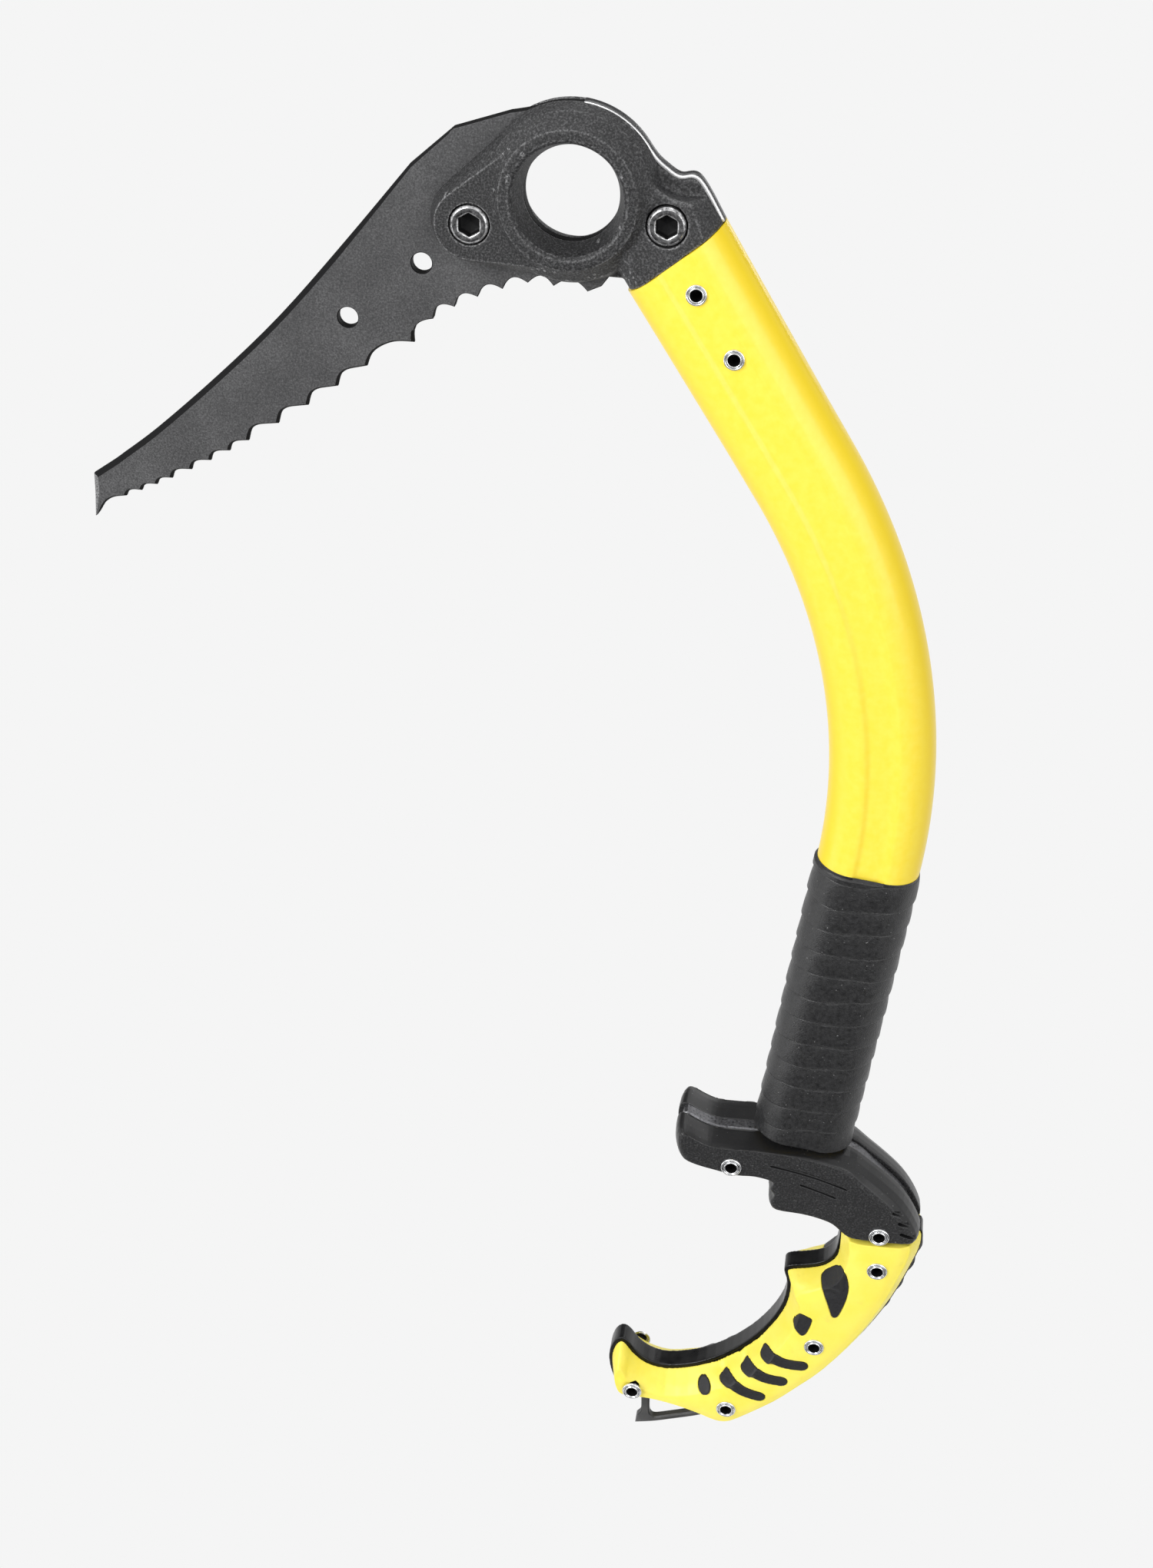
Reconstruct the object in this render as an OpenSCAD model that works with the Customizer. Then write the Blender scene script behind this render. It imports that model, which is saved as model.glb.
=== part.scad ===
// Ice climbing tool with a bent shaft, a forged head that holds an exchangeable pick,
// a taped upper hand zone and a riveted handle with a finger guard and a pommel spike.
// Millimetres. The origin is the centre of the head ring; the tool lies in the XZ plane,
// with the pick towards -X, the spike towards -Z and Y across the thickness.

/* [Shaft] */
// Width of the shaft in the swing plane
shaft_w = 33.6; // [32:0.2:36]
// Thickness of the shaft
shaft_t = 22.6; // [21.5:0.2:24]
// Depth of the shallow groove along each flat side
shaft_groove = 0.8; // [0.4:0.1:1.2]
// Wall of the tube
shaft_wall = 2; // [1.6:0.1:2.6]
// Centre of the shaft's top end, from the ring, along X
shaft_top_x = 29.1; // [28:0.1:32]
// Centre of the shaft's top end, below the ring
shaft_top_drop = 15.4; // [14.5:0.1:18]
// Drop of the shaft's top edge from its back to its front
seat_slant = 3.6; // [2:0.2:5]
// Lean of the upper straight from the vertical, in degrees
upper_lean = 31.5; // [28:0.5:34]
// Lean of the lower straight from the vertical, in degrees
lower_lean = 8.2; // [6:0.2:10]
// Length of the upper straight
upper_len = 76.6; // [60:1:110]
// Radius of the bend at the centre of the tube
bend_r = 201; // [161:5:261]
// Length of the lower straight
lower_len = 111.6; // [111.6:1:140]

/* [Head] */
// Radius of the narrowest land in the ring
ring_bore_r = 13.8; // [12.8:0.1:14.2]
// Length of that land
ring_land = 5; // [4.6:0.2:7]
// Radius of the ring's opening at its rim
ring_mouth_r = 17; // [16:0.1:17.6]
// Outer radius of the raised rim
ring_rim_r = 20.6; // [19.6:0.1:21.4]
// Outer radius of the ring
ring_r = 25.8; // [25:0.1:26.4]
// Width of the head over both rims
head_w = 22.6; // [21:0.2:25]
// Width of the head over the bolt bosses
boss_w = 18; // [17:0.2:19]
// Width of the trimmed metal band along the back
band_w = 5.2; // [4.6:0.2:6]
// Radius of the front boss
boss_r = 12.6; // [12:0.1:13.4]
// Length of the head's tang in the shaft
head_tang_len = 46; // [42:1:56]

/* [Pick] */
// Thickness of the pick
pick_t = 3.5; // [3:0.1:4]
// Reach of the pick's beak in front of the ring
pick_reach = 151.4; // [142:0.2:160]
// Play between the pick and its slot, each side
pick_play = 0.05; // [0.03:0.01:0.1]
// Radius of the accessory holes
accessory_r = 3.05; // [2.6:0.05:3.4]
// Depth of the round scallops under the head
scallop_depth = 3.4; // [2.5:0.1:4]

/* [Bolts] */
// Radius of the bolt's shank
bolt_r = 3; // [2.5:0.1:3.2]
// Radius of the bolt's head
bolt_head_r = 5.6; // [5.2:0.1:6]
// Height of the bolt's head
bolt_head_h = 5; // [4.4:0.1:5.4]
// Hexagon key size, across flats
key_af = 6; // [5:0.5:7]
// Nut size, across flats
nut_af = 10; // [9:0.5:11]
// Thickness of the nut
nut_h = 4.6; // [4:0.1:5]

/* [Tape] */
// Length of the taped zone
tape_len = 111; // [90:1:111]
// Turns of tape
tape_turns = 12; // [8:1:14]
// Thickness of the first, flat layer
tape_base = 0.12; // [0.1:0.02:0.3]
// Thickness of the tape at its tucked edge
tape_thin = 0.2; // [0.2:0.05:0.4]
// Thickness of the tape at its lapping edge
tape_thick = 0.5; // [0.45:0.05:1]

/* [Handle] */
// Width over both guard shells
guard_w = 27.8; // [26:0.2:30]
// Width over both grip shells
grip_w = 27.4; // [26:0.2:29]
// Width of the dark core between the grip shells
core_w = 7.8; // [7:0.2:9.4]
// Thickness of the metal handle plate
plate_t = 5; // [4:0.2:6]
// Amount by which the core stands proud of the grip shells along the back
core_proud = 0.4; // [0.3:0.1:0.8]
// Amount by which the core stands proud of the grip shells on the hand's side
hand_proud = 1.2; // [0.8:0.1:1.6]
// Height over which the guard's outer edge is crowned
guard_crown = 9; // [6:0.5:10]
// Height of the guard ribs and grooves
groove_depth = 1; // [0.5:0.1:1.4]
// Height of the ribs along the back of the core
core_rib = 1.3; // [0.8:0.1:2]
// Depth of the pads below the grip's outer face
pad_sink = 0.5; // [0.2:0.1:1]
// Wall of the grip shell behind a pad
pad_floor = 1.6; // [1:0.1:2.4]
// Width of the handle plate's tang in the shaft
tang_w = 16; // [12:0.5:18]
// Length of the handle plate's tang
tang_len = 52; // [46:1:60]
// Radius of the hidden tang pins
tang_pin_r = 2.5; // [2:0.1:3]

/* [Spike] */
// Thickness of the spike
spike_t = 3.2; // [2.8:0.1:4]
// Reach of the spike's corner below the shaft's end
spike_drop = 147.8; // [147.2:0.1:152]

/* [Rivets] */
// Outer radius of a handle rivet's tube
rivet_r = 2.5; // [2.3:0.1:2.7]
// Radius of the hole through a rivet
rivet_hole_r = 1.85; // [1.5:0.05:2]
// Radius of a handle rivet's rolled flange
rivet_flange_r = 3.65; // [3.3:0.05:4]
// Radius of a head rivet's flange
head_rivet_flange_r = 3.2; // [3:0.05:3.4]

/* [Hidden] */
$fn = 64;
slip = 0.1;
turn_gap = 0.3;

steel = "#434445";
forged = "#39393a";
oxide = "#2c2c2d";
chrome = "#c9cacc";
yellow = "#f7e233";
rubber = "#2f3031";
plastic = "#2a2a2b";

// Smooth curve through points, with n steps in each span
function spline(p, n) = [
    for (i = [0 : len(p) - 2])
        let (
            a = i > 0 ? p[i - 1] : 2 * p[0] - p[1],
            b = p[i],
            c = p[i + 1],
            d = i < len(p) - 2 ? p[i + 2] : 2 * c - b
        )
        for (k = [0 : n - 1])
            let (t = k / n)
            (2 * b + (c - a) * t + (2 * a - 5 * b + 4 * c - d) * t * t
                + (3 * b - a - 3 * c + d) * t * t * t) / 2,
    p[len(p) - 1]
];

// Smooth closed curve through points
function loop(p, n) =
    let (m = len(p), q = [for (i = [-1 : m + 1]) p[(i + m) % m]], s = spline(q, n))
    [for (i = [n : n + m * n - 1]) s[i]];

// Points moved inwards along the normals of a closed outline that runs counter-clockwise,
// by one distance or by a distance for each point
function inset(p, e) =
    let (m = len(p))
    [for (i = [0 : m - 1])
        let (d = p[(i + 1) % m] - p[(i + m - 1) % m])
        p[i] - (is_list(e) ? e[i] : e) * [d[1], -d[0]] / norm(d)];

// Points of an open path moved to its left
function beside(p, e) =
    [for (i = [0 : len(p) - 1])
        let (d = p[min(i + 1, len(p) - 1)] - p[max(i - 1, 0)])
        p[i] + e * [-d[1], d[0]] / norm(d)];

// Arc about a centre
function arc(c, r, a0, a1, n) =
    [for (i = [0 : n]) let (a = a0 + (a1 - a0) * i / n) c + r * [cos(a), sin(a)]];

// Arch from one point to the next, standing on their chord
function arch(a, b, depth, n) =
    let (side = [a[1] - b[1], b[0] - a[0]] / norm(b - a))
    [for (i = [1 : n]) let (t = i / n) a + (b - a) * t + side * depth * sin(180 * t)];

// Points moved together
function shift(p, by) = [for (v = p) v + by];

// Plate of an outline in the XZ plane, between two heights along Y
module plate(y0, y1) {
    translate([0, y1, 0]) rotate([90, 0, 0]) linear_extrude(y1 - y0) children();
}

// Turned shape about an axis along Y through a point
module turned(p) {
    translate([p[0], 0, p[1]]) rotate([-90, 0, 0]) children();
}

// Round hole or pin along Y
module rod(p, r, y0, y1) {
    turned(p) translate([0, 0, y0]) cylinder(r = r, h = y1 - y0);
}

// Frame on the shaft's centreline, with Z up the shaft
module on_shaft(p, lean) {
    translate([p[0], 0, p[1]]) rotate([0, lean, 0]) children();
}

// Crowned shell between an inner and an outer outline with as many points. Each ring is given
// as [height along Y, share of the way from the inner outline to the outer one].
module crowned(inner, outer, rings) {
    m = len(inner);
    last = (len(rings) - 1) * m;
    points = [for (r = rings) for (i = [0 : m - 1])
        let (v = inner[i] + r[1] * (outer[i] - inner[i])) [v[0], r[0], v[1]]];
    sides = [
        for (k = [0 : len(rings) - 2]) for (i = [0 : m - 1])
            let (a = k * m + i, b = k * m + (i + 1) % m)
            each [[a, b, b + m], [a, b + m, a + m]]
    ];
    caps = [[for (i = [m - 1 : -1 : 0]) i], [for (i = [0 : m - 1]) last + i]];
    polyhedron(points, concat(caps, sides));
}

// Rings of a shell that stands straight up to where its crown starts
function crown_rings(y0, y1, crown) = [
    [y0, 0],
    for (a = [0 : 22.5 : 90]) [y1 - crown * (1 - sin(a)), 1 - cos(a)]
];

// Centreline of the shaft
shaft_top = [shaft_top_x, -shaft_top_drop];
upper_dir = [sin(upper_lean), -cos(upper_lean)];
lower_dir = [-sin(lower_lean), -cos(lower_lean)];
bend_start = shaft_top + upper_len * upper_dir;
bend_centre = bend_start - bend_r * [cos(upper_lean), sin(upper_lean)];
bend_end = bend_centre + bend_r * [cos(lower_lean), -sin(lower_lean)];
shaft_end = bend_end + lower_len * lower_dir;
lobe_r = shaft_t / 2;
lobe_x = shaft_w / 2 - lobe_r;

// Section of the shaft, grown or shrunk by e
module shaft_section(e) {
    for (s = [-1, 1]) translate([s * lobe_x, 0]) circle(r = lobe_r + e);
    square([2 * lobe_x, 2 * (lobe_r - shaft_groove + e)], center = true);
}

// Oval that bridges the grooves, as the tape does, grown by e
module tape_section(e) {
    for (s = [-1, 1]) translate([s * lobe_x, 0]) circle(r = lobe_r + e);
    square([2 * lobe_x, 2 * (lobe_r + e)], center = true);
}

// Solid along the whole shaft; the straights lap the ends of the bend and stand just proud there
seam_lap = 0.2;
seam_step = 0.02;
module shaft_sweep(e) {
    on_shaft(shaft_top, -upper_lean) translate([0, 0, -upper_len - seam_lap])
        linear_extrude(upper_len + seam_lap) shaft_section(e + seam_step);
    translate([bend_centre[0], 0, bend_centre[1]]) rotate([90, 0, 0]) rotate([0, 0, -lower_lean])
        rotate_extrude(angle = upper_lean + lower_lean) translate([bend_r, 0]) shaft_section(e);
    on_shaft(bend_end, lower_lean) translate([0, 0, -lower_len])
        linear_extrude(lower_len + seam_lap) shaft_section(e + seam_step);
}

// Head rivets, as distances down the shaft from its top
head_rivet_across = 1.4;
head_rivet_at = [12.4, 34.1];
function on_upper(across, down) =
    shaft_top + across * [cos(upper_lean), sin(upper_lean)] + down * upper_dir;
head_rivets = [for (d = head_rivet_at) on_upper(head_rivet_across, d)];
head_rivet_seat = lobe_r - shaft_groove + seam_step;

// Hidden pins of the handle's tang, as distances up the shaft from its end
tang_pin_margin = 14;
tang_pin_at = [tang_pin_margin, tang_len - tang_pin_margin];
tang_pins = [for (d = tang_pin_at) shaft_end - d * lower_dir];

// Region above the joint of the head and the shaft, which falls towards the front
shaft_back = on_upper(shaft_w / 2, 0);
shaft_front = on_upper(-shaft_w / 2, seat_slant);
seat_dir = (shaft_front - shaft_back) / norm(shaft_front - shaft_back);
seat_ends = [shaft_back - shaft_w * seat_dir, shaft_front + shaft_w * seat_dir];
module above_seat() {
    above = [for (p = seat_ends) p - shaft_w * upper_dir];
    plate(-shaft_t, shaft_t) polygon([seat_ends[0], above[0], above[1], seat_ends[1]]);
}

module shaft() {
    color(yellow) difference() {
        shaft_sweep(0);
        shaft_sweep(-shaft_wall);
        above_seat();
        for (p = head_rivets) {
            rod(p, rivet_r + slip, -shaft_t, shaft_t);
            both_sides() rod(p, head_rivet_flange_r + slip, head_rivet_seat, shaft_t);
        }
        for (p = tang_pins) rod(p, tang_pin_r + slip, -shaft_t, shaft_t);
    }
}

// Bolts of the pick
front_bolt = [-28.4, -8.3];
rear_bolt = [27.8, -6.6];
bolts = [front_bolt, rear_bolt];
bolt_sink = 0.4;
bolt_seat = boss_w / 2 - bolt_head_h + bolt_sink;
nut_seat = boss_w / 2 - nut_h - bolt_sink;
bolt_chamfer = 0.6;
key_depth = 3.2;
counterbore_gap = 0.4;

// Pick: back end inside the head, from the top of the ring down to the first scallop
heel = concat(
    [[3.4, 24.3], [8, 20.6]],
    spline([[14.5, 16.5], [21, 10], [28, 3.4], [34, -1.5], [36.6, -7], [33.6, -12.4], [27, -14.8],
        [19.5, -16.8], [13, -21]], 3),
    [[8.6, -26.8]]
);

// Pick: rear scallops
scallop_tips = [
    [4.5, -28.6], [-5.4, -27.4], [-12.9, -26.8], [-20.3, -29], [-27.7, -31.7], [-34.6, -35],
    [-41.1, -38.9], [-47.1, -46.6]
];
scallops = [
    scallop_tips[0],
    for (i = [0 : len(scallop_tips) - 2])
        each arch(scallop_tips[i], scallop_tips[i + 1], -scallop_depth, 8)
];

// Pick: the blade is drawn for one reach and grows from its root to suit another
drawn_reach = 151.4;
blade_root = [-60.6, -50.6];
blade_scale = (pick_reach + blade_root[0]) / (drawn_reach + blade_root[0]);
function on_blade(p) = blade_root + blade_scale * (p - blade_root);

// Pick: teeth, finer towards the tip; each heads a little steeper than the one before it
tooth_pitches = [5.6, 5.6, 5.6, 7.2, 7.2, 7.2, 7.2, 11.5, 11.5, 11.5, 11.5];
first_tooth = [-140.4, -101];
tooth_heading = [22.5, 37.5];
function tooth(k) = k == 0 ? first_tooth
    : let (h = tooth_heading[0] + (tooth_heading[1] - tooth_heading[0]) * (k - 1) / len(tooth_pitches))
        tooth(k - 1) + tooth_pitches[k - 1] * [cos(h), sin(h)];
gullet_share = [1.12, 0.76];
gullet_lead = 0.17;
teeth = [
    for (k = [len(tooth_pitches) : -1 : 0])
        let (
            p = tooth(k),
            q = tooth(max(k - 1, 0)),
            w = tooth_pitches[max(k - 1, 0)],
            share = gullet_share[0] + (gullet_share[1] - gullet_share[0]) * k / len(tooth_pitches),
            corner = [q[0] + gullet_lead * w, q[1] + share * (p[1] - q[1])],
            eased = [
                corner + 0.14 * (p - corner), corner - [0.06, 0.08] * w, (corner + q) / 2 - [0.03 * w, 0]
            ]
        )
        each [for (v = k == 0 ? [p] : concat([p], eased)) on_blade(v)]
];

// Pick: upper edge from the tip to the ring
beak_points = [[-144.9, -101.6], [-147.6, -103.6], [-150.8, -108], [-151.4, -102], [-149.5, -95.1],
    [-142.5, -88.8], [-128.8, -78.3], [-108.1, -60.2], [-87.9, -40.8]];
beak = spline([for (p = beak_points) on_blade(p), [-67.8, -18.5], [-46.7, 6]], 4);
crest = [[-33.7, 16.9], [-17.4, 21.9], each arc([0, 0], ring_r - 0.4, 115, 83, 4)];
notch = [[-53.4, -46.4], [-58.4, -48.8], blade_root];
pick_outline = concat(heel, scallops, notch, teeth, beak, crest);

// Accessory holes in the pick
accessory_mid = [-55.3, -30.95];
accessory_spacing = 28.5;
accessory_dir = [cos(37.4), sin(37.4)];
accessory_holes = [for (s = [-1, 1]) accessory_mid + s * accessory_spacing / 2 * accessory_dir];

module pick() {
    color(steel) difference() {
        plate(-pick_t / 2, pick_t / 2) polygon(pick_outline);
        rod([0, 0], ring_bore_r, -pick_t, pick_t);
        for (p = bolts) rod(p, bolt_r + turn_gap, -pick_t, pick_t);
        for (p = accessory_holes) rod(p, accessory_r, -pick_t, pick_t);
    }
}

// Head: outline of the trimmed band, with the hollow between the ring and the shaft
neck_rise = 14;
band_proud = 0.15;
band_gap = 0.4;
band_front = 3;
band_back = shaft_w / 2 + band_proud;
band_arc = [39, 285];
hollow = spline([on_upper(band_back, -neck_rise), [30.6, 5.9], [25, 9.2], [20.8, 14.2]], 5);
band_outline = concat(
    [on_upper(band_back, -band_gap)], hollow, arc([0, 0], ring_r - 1, band_arc[0], band_arc[1], 12),
    [[9.4, -23.6], on_upper(band_front - shaft_w / 2, seat_slant / 2)]);
neck_outline = concat(
    [seat_ends[0], on_upper(shaft_w / 2 - 1, -neck_rise + 5)],
    spline([[33, 0.4], [28, 1.6], [23, 5.2], [18.5, 10.5]], 4),
    [[0, 0], [3, -21], on_upper(-shaft_w, 0), seat_ends[1]]);

// Wedge that thins the neck from the shaft's surface to the rear bolt's face and on towards the band
neck_tilt = 0.125;
neck_foot = -2 * seat_slant;
neck_reach = 2 * ring_r;
function neck_half(rise) = boss_w / 2 + neck_tilt * ((rear_bolt - shaft_top) * -upper_dir - rise);
module neck_wedge() {
    on_shaft(shaft_top, -upper_lean) translate([-shaft_w, 0, 0]) rotate([90, 0, 90])
        linear_extrude(2 * shaft_w) polygon([
            [neck_half(neck_foot), neck_foot], [neck_half(neck_reach), neck_reach],
            [-neck_half(neck_reach), neck_reach], [-neck_half(neck_foot), neck_foot]]);
}

slot_half = pick_t / 2 + pick_play;
slot_outline = concat([[3.7, 30]], beside(heel, turn_gap), [[8.9, -40], [-60, -40], [-60, 30]]);

// Half of the ring's section, drafted on both sides, and of the hole through it
module ring_section() {
    rim = head_w / 2;
    polygon([[0, 0], [ring_r, 0], [ring_r, band_w / 2], [ring_r - 1.6, rim * 0.6],
        [ring_rim_r + 0.5, rim - 1.6], [ring_rim_r - 0.8, rim - 0.2], [ring_rim_r - 1.8, rim], [0, rim]]);
}
module ring_hole_section() {
    rim = head_w / 2;
    polygon([[0, -1], [ring_bore_r, -1], [ring_bore_r, ring_land / 2], [ring_mouth_r - 1, rim - 0.8],
        [ring_mouth_r, rim], [ring_mouth_r, rim + 1], [0, rim + 1]]);
}

// Shapes on both sides of the mid-plane
module both_sides() {
    children();
    mirror([0, 1, 0]) children();
}

// Drafted cheek on one side of the pick, from the ring to the front boss
lobe_draft = 2.4;
module front_lobe() {
    cheek = boss_w / 2 - slot_half;
    hull() {
        turned([0, 0]) translate([0, 0, slot_half])
            cylinder(r1 = ring_r - 0.4, r2 = ring_rim_r, h = cheek, $fn = 32);
        turned(front_bolt) translate([0, 0, slot_half])
            cylinder(r1 = boss_r, r2 = boss_r - lobe_draft, h = cheek, $fn = 32);
    }
}

module head() {
    color(forged) difference() {
        union() {
            both_sides() turned([0, 0]) rotate_extrude() ring_section();
            both_sides() front_lobe();
            plate(-band_w / 2, band_w / 2) polygon(band_outline);
            intersection() {
                on_shaft(shaft_top, -upper_lean) translate([0, 0, neck_foot])
                    linear_extrude(neck_reach) shaft_section(-slip);
                plate(-shaft_t, shaft_t) polygon(neck_outline);
                neck_wedge();
            }
            on_shaft(shaft_top, -upper_lean) translate([0, 0, -head_tang_len])
                linear_extrude(head_tang_len + 1) shaft_section(-shaft_wall - slip);
        }
        both_sides() turned([0, 0]) rotate_extrude() ring_hole_section();
        plate(-slot_half, slot_half) polygon(slot_outline);
        for (p = bolts) {
            rod(p, bolt_r + turn_gap, -head_w, head_w);
            rod(p, bolt_head_r + counterbore_gap, -head_w, -bolt_seat);
            turned(p) translate([0, 0, nut_seat])
                cylinder(r = nut_af / sqrt(3) + slip, h = head_w, $fn = 6);
        }
        for (p = head_rivets) rod(p, rivet_r + slip, -shaft_t, shaft_t);
    }
}

// Socket-head bolt along Y, with its head on the near side
module pick_bolt(p) {
    top = bolt_seat + bolt_head_h;
    color(oxide) difference() {
        turned(p) rotate_extrude() polygon([
            [0, -top], [bolt_head_r - bolt_chamfer, -top], [bolt_head_r, -top + bolt_chamfer],
            [bolt_head_r, -bolt_seat - slip], [bolt_r, -bolt_seat - slip],
            [bolt_r, nut_seat + nut_h - bolt_chamfer], [bolt_r - bolt_chamfer, nut_seat + nut_h],
            [0, nut_seat + nut_h]]);
        turned(p) translate([0, 0, -top - 1]) cylinder(r = key_af / sqrt(3), h = key_depth + 1, $fn = 6);
    }
}
module front_pick_bolt() { pick_bolt(front_bolt); }
module rear_pick_bolt() { pick_bolt(rear_bolt); }

// Hexagon nut on the far side
module pick_nut(p) {
    color(oxide) difference() {
        turned(p) translate([0, 0, nut_seat]) cylinder(r = nut_af / sqrt(3), h = nut_h, $fn = 6);
        rod(p, bolt_r + turn_gap, 0, head_w);
    }
}
module front_pick_nut() { pick_nut(front_bolt); }
module rear_pick_nut() { pick_nut(rear_bolt); }

// Hollow rivet along Y, with a rolled flange on both sides
module hollow_rivet(p, seat, flange_r) {
    half = rivet_half(seat, flange_r);
    other = [for (i = [len(half) - 1 : -1 : 0]) [half[i][0], -half[i][1]]];
    color(chrome) turned(p) rotate_extrude() polygon(concat(half, other));
}
function rivet_half(seat, flange_r) = [
    [rivet_r, seat], [flange_r, seat], [flange_r, seat + 0.35], [flange_r - 0.4, seat + 0.85],
    [(flange_r + rivet_hole_r) / 2, seat + 1], [rivet_hole_r + 0.35, seat + 0.7], [rivet_hole_r, seat + 0.1]
];
module upper_head_rivet() { hollow_rivet(head_rivets[0], head_rivet_seat, head_rivet_flange_r); }
module lower_head_rivet() { hollow_rivet(head_rivets[1], head_rivet_seat, head_rivet_flange_r); }

// Solid straight pin across the shaft, under the tape
module tang_pin(p) {
    half = lobe_r - shaft_groove;
    color(steel) rod(p, tang_pin_r, -half, half);
}
module upper_tang_pin() { tang_pin(tang_pins[1]); }
module lower_tang_pin() { tang_pin(tang_pins[0]); }

// Moulded plug that fills the shaft around the handle's tang
plug_over = 3;
module tang_plug() {
    color(plastic) difference() {
        on_shaft(shaft_end, lower_lean) translate([0, 0, slip])
            linear_extrude(tang_len + plug_over) shaft_section(-shaft_wall - slip);
        on_shaft(shaft_end, lower_lean) translate([-tang_w / 2 - slip, -plate_t / 2 - slip, -1])
            cube([tang_w + 2 * slip, plate_t + 2 * slip, tang_len + 1 + slip]);
        for (p = tang_pins) rod(p, tang_pin_r + slip, -shaft_t, shaft_t);
    }
}

// Flat under-layer of the tape
base_e = slip;
module grip_tape_base() {
    color(rubber) on_shaft(shaft_end, lower_lean) translate([0, 0, slip])
        linear_extrude(tape_len) difference() {
            tape_section(base_e + tape_base);
            tape_section(base_e);
        }
}

// Lapped winding of the tape: a ribbon that climbs the shaft once a turn
winding_steps = 32;
winding_gap = 0.5;
winding_start = slip + 0.4;
winding_e = base_e + tape_base + slip;
winding_rise = (tape_len - 1) / (tape_turns + 1);
ribbon_w = winding_rise - winding_gap;
half_steps = winding_steps / 2;
function oval_point(k, e) =
    let (
        side = floor(k / half_steps) % 2 == 0 ? 1 : -1,
        a = -90 + 180 * (k % half_steps) / (half_steps - 1)
    )
    side * [lobe_x + (lobe_r + e) * cos(a), (lobe_r + e) * sin(a)];
ribbon_corners = [[0, 0], [tape_thick, 0], [tape_thin, ribbon_w], [0, ribbon_w]];
function ribbon_ring(k) =
    let (z = winding_start + winding_rise * k / winding_steps)
    [for (c = ribbon_corners) let (v = oval_point(k, winding_e + c[0])) [v[0], v[1], z + c[1]]];
winding_count = winding_steps * tape_turns;
winding_points = [for (k = [0 : winding_count]) each ribbon_ring(k)];
winding_least = min([
    for (k = [0 : winding_count - winding_steps - 1]) for (i = [2, 3]) for (j = [0, 1])
        norm(winding_points[4 * k + i] - winding_points[4 * (k + winding_steps) + j])
]);
echo(str("Least gap between turns of the tape, mm: ", winding_least));

module grip_tape() {
    sides = [for (k = [0 : winding_count - 1]) for (i = [0 : 3])
        let (a = 4 * k + i, b = 4 * k + (i + 1) % 4) each [[a, b, b + 4], [a, b + 4, a + 4]]];
    last = 4 * winding_count;
    caps = [[0, 2, 1], [0, 3, 2], [last, last + 1, last + 2], [last, last + 2, last + 3]];
    color(rubber) on_shaft(shaft_end, lower_lean) polyhedron(winding_points, concat(sides, caps));
}

// Handle rivets, from the shaft's end
guard_rivets = shift([[-23.6, -9.3], [28.9, -34.3]], shaft_end);
grip_rivets = shift([[29.2, -50.1], [9, -88.7], [-21.8, -123.6], [-56.9, -119.4]], shaft_end);

// Guard outlines beside the plate and on the outer face, from the shaft's end,
// counter-clockwise from behind the shaft
guard_inner = shift(loop([
    [17, -4.6], [9, -2.9], [-2, -1.9], [-15, -1.5], [-27, -1.4], [-32.4, -0.6], [-37, 1.6], [-41.2, 4],
    [-43.3, 2.9], [-43.9, -1], [-43.4, -5], [-41.6, -8.8],
    [-36, -11.2], [-29, -12.6], [-22, -13.9], [-15, -13.9], [-9.6, -15.8],
    [-10.8, -19], [-9.1, -21.6], [-10.6, -24.8], [-8.2, -28],
    [1, -28.6], [7, -29.9], [12, -32], [16.2, -36.2], [21, -37.9], [38.2, -38], [43, -36.2],
    [41.2, -29.6], [36.8, -22], [31, -15.8], [24, -9.8]
], 3), shaft_end);
guard_outer = shift(loop([
    [15.3, -7.8], [8, -5], [-2, -2.6], [-15, -1.8], [-27, -2], [-32, -1.4], [-36.4, 0.6], [-39.9, 2.8],
    [-41.2, 1.8], [-41.1, -1.8], [-40.4, -5], [-38.8, -8],
    [-35, -9.8], [-28.6, -11.4], [-22, -12.8], [-15, -12.7], [-8.8, -14.4],
    [-9.2, -17.6], [-7.9, -20.2], [-8.8, -23.4], [-6.8, -26.4],
    [1.4, -27.3], [7.6, -28.6], [13, -30.8], [17.4, -34.8], [21.6, -36.4], [36.8, -36.6], [39.6, -35],
    [37.4, -30.8], [32.6, -25.1], [27.2, -19.8], [20.8, -13.9]
], 3), shaft_end);

// Long crescent groove on the guard's face: a thin lens between two points
function crescent(a, b, bow, w) =
    concat([a], arch(a, b, bow + w, 10), [for (i = [9 : -1 : 1]) arch(a, b, bow - w, 10)[i - 1]]);
guard_grooves = [
    shift(crescent([-15, -7.2], [20.7, -17.1], 2.2, 0.8), shaft_end),
    shift(crescent([-2.7, -14.1], [16, -20.8], 1, 0.6), shaft_end)
];

// Short grooves that leave three ribs at the guard's rear
rear_grooves = shift([[36.2, -24.8], [38.4, -29], [39.4, -33.6]], shaft_end);
rear_groove_size = [7, 1.3];
rear_groove_turn = -18;
module near_guard() {
    inner = plate_t / 2 + slip / 2;
    outer = guard_w / 2;
    color(plastic) difference() {
        mirror([0, 1, 0]) crowned(guard_inner, guard_outer, crown_rings(inner, outer, guard_crown));
        for (g = guard_grooves) plate(-outer - 1, -outer + groove_depth) polygon(g);
        for (p = rear_grooves) plate(-outer - 1, -outer + 2 * groove_depth)
            translate(p) rotate(rear_groove_turn) square(rear_groove_size, center = true);
        for (p = guard_rivets) rod(p, rivet_r + slip, -outer - 1, 0);
    }
}
module far_guard() { mirror([0, 1, 0]) near_guard(); }

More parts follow.
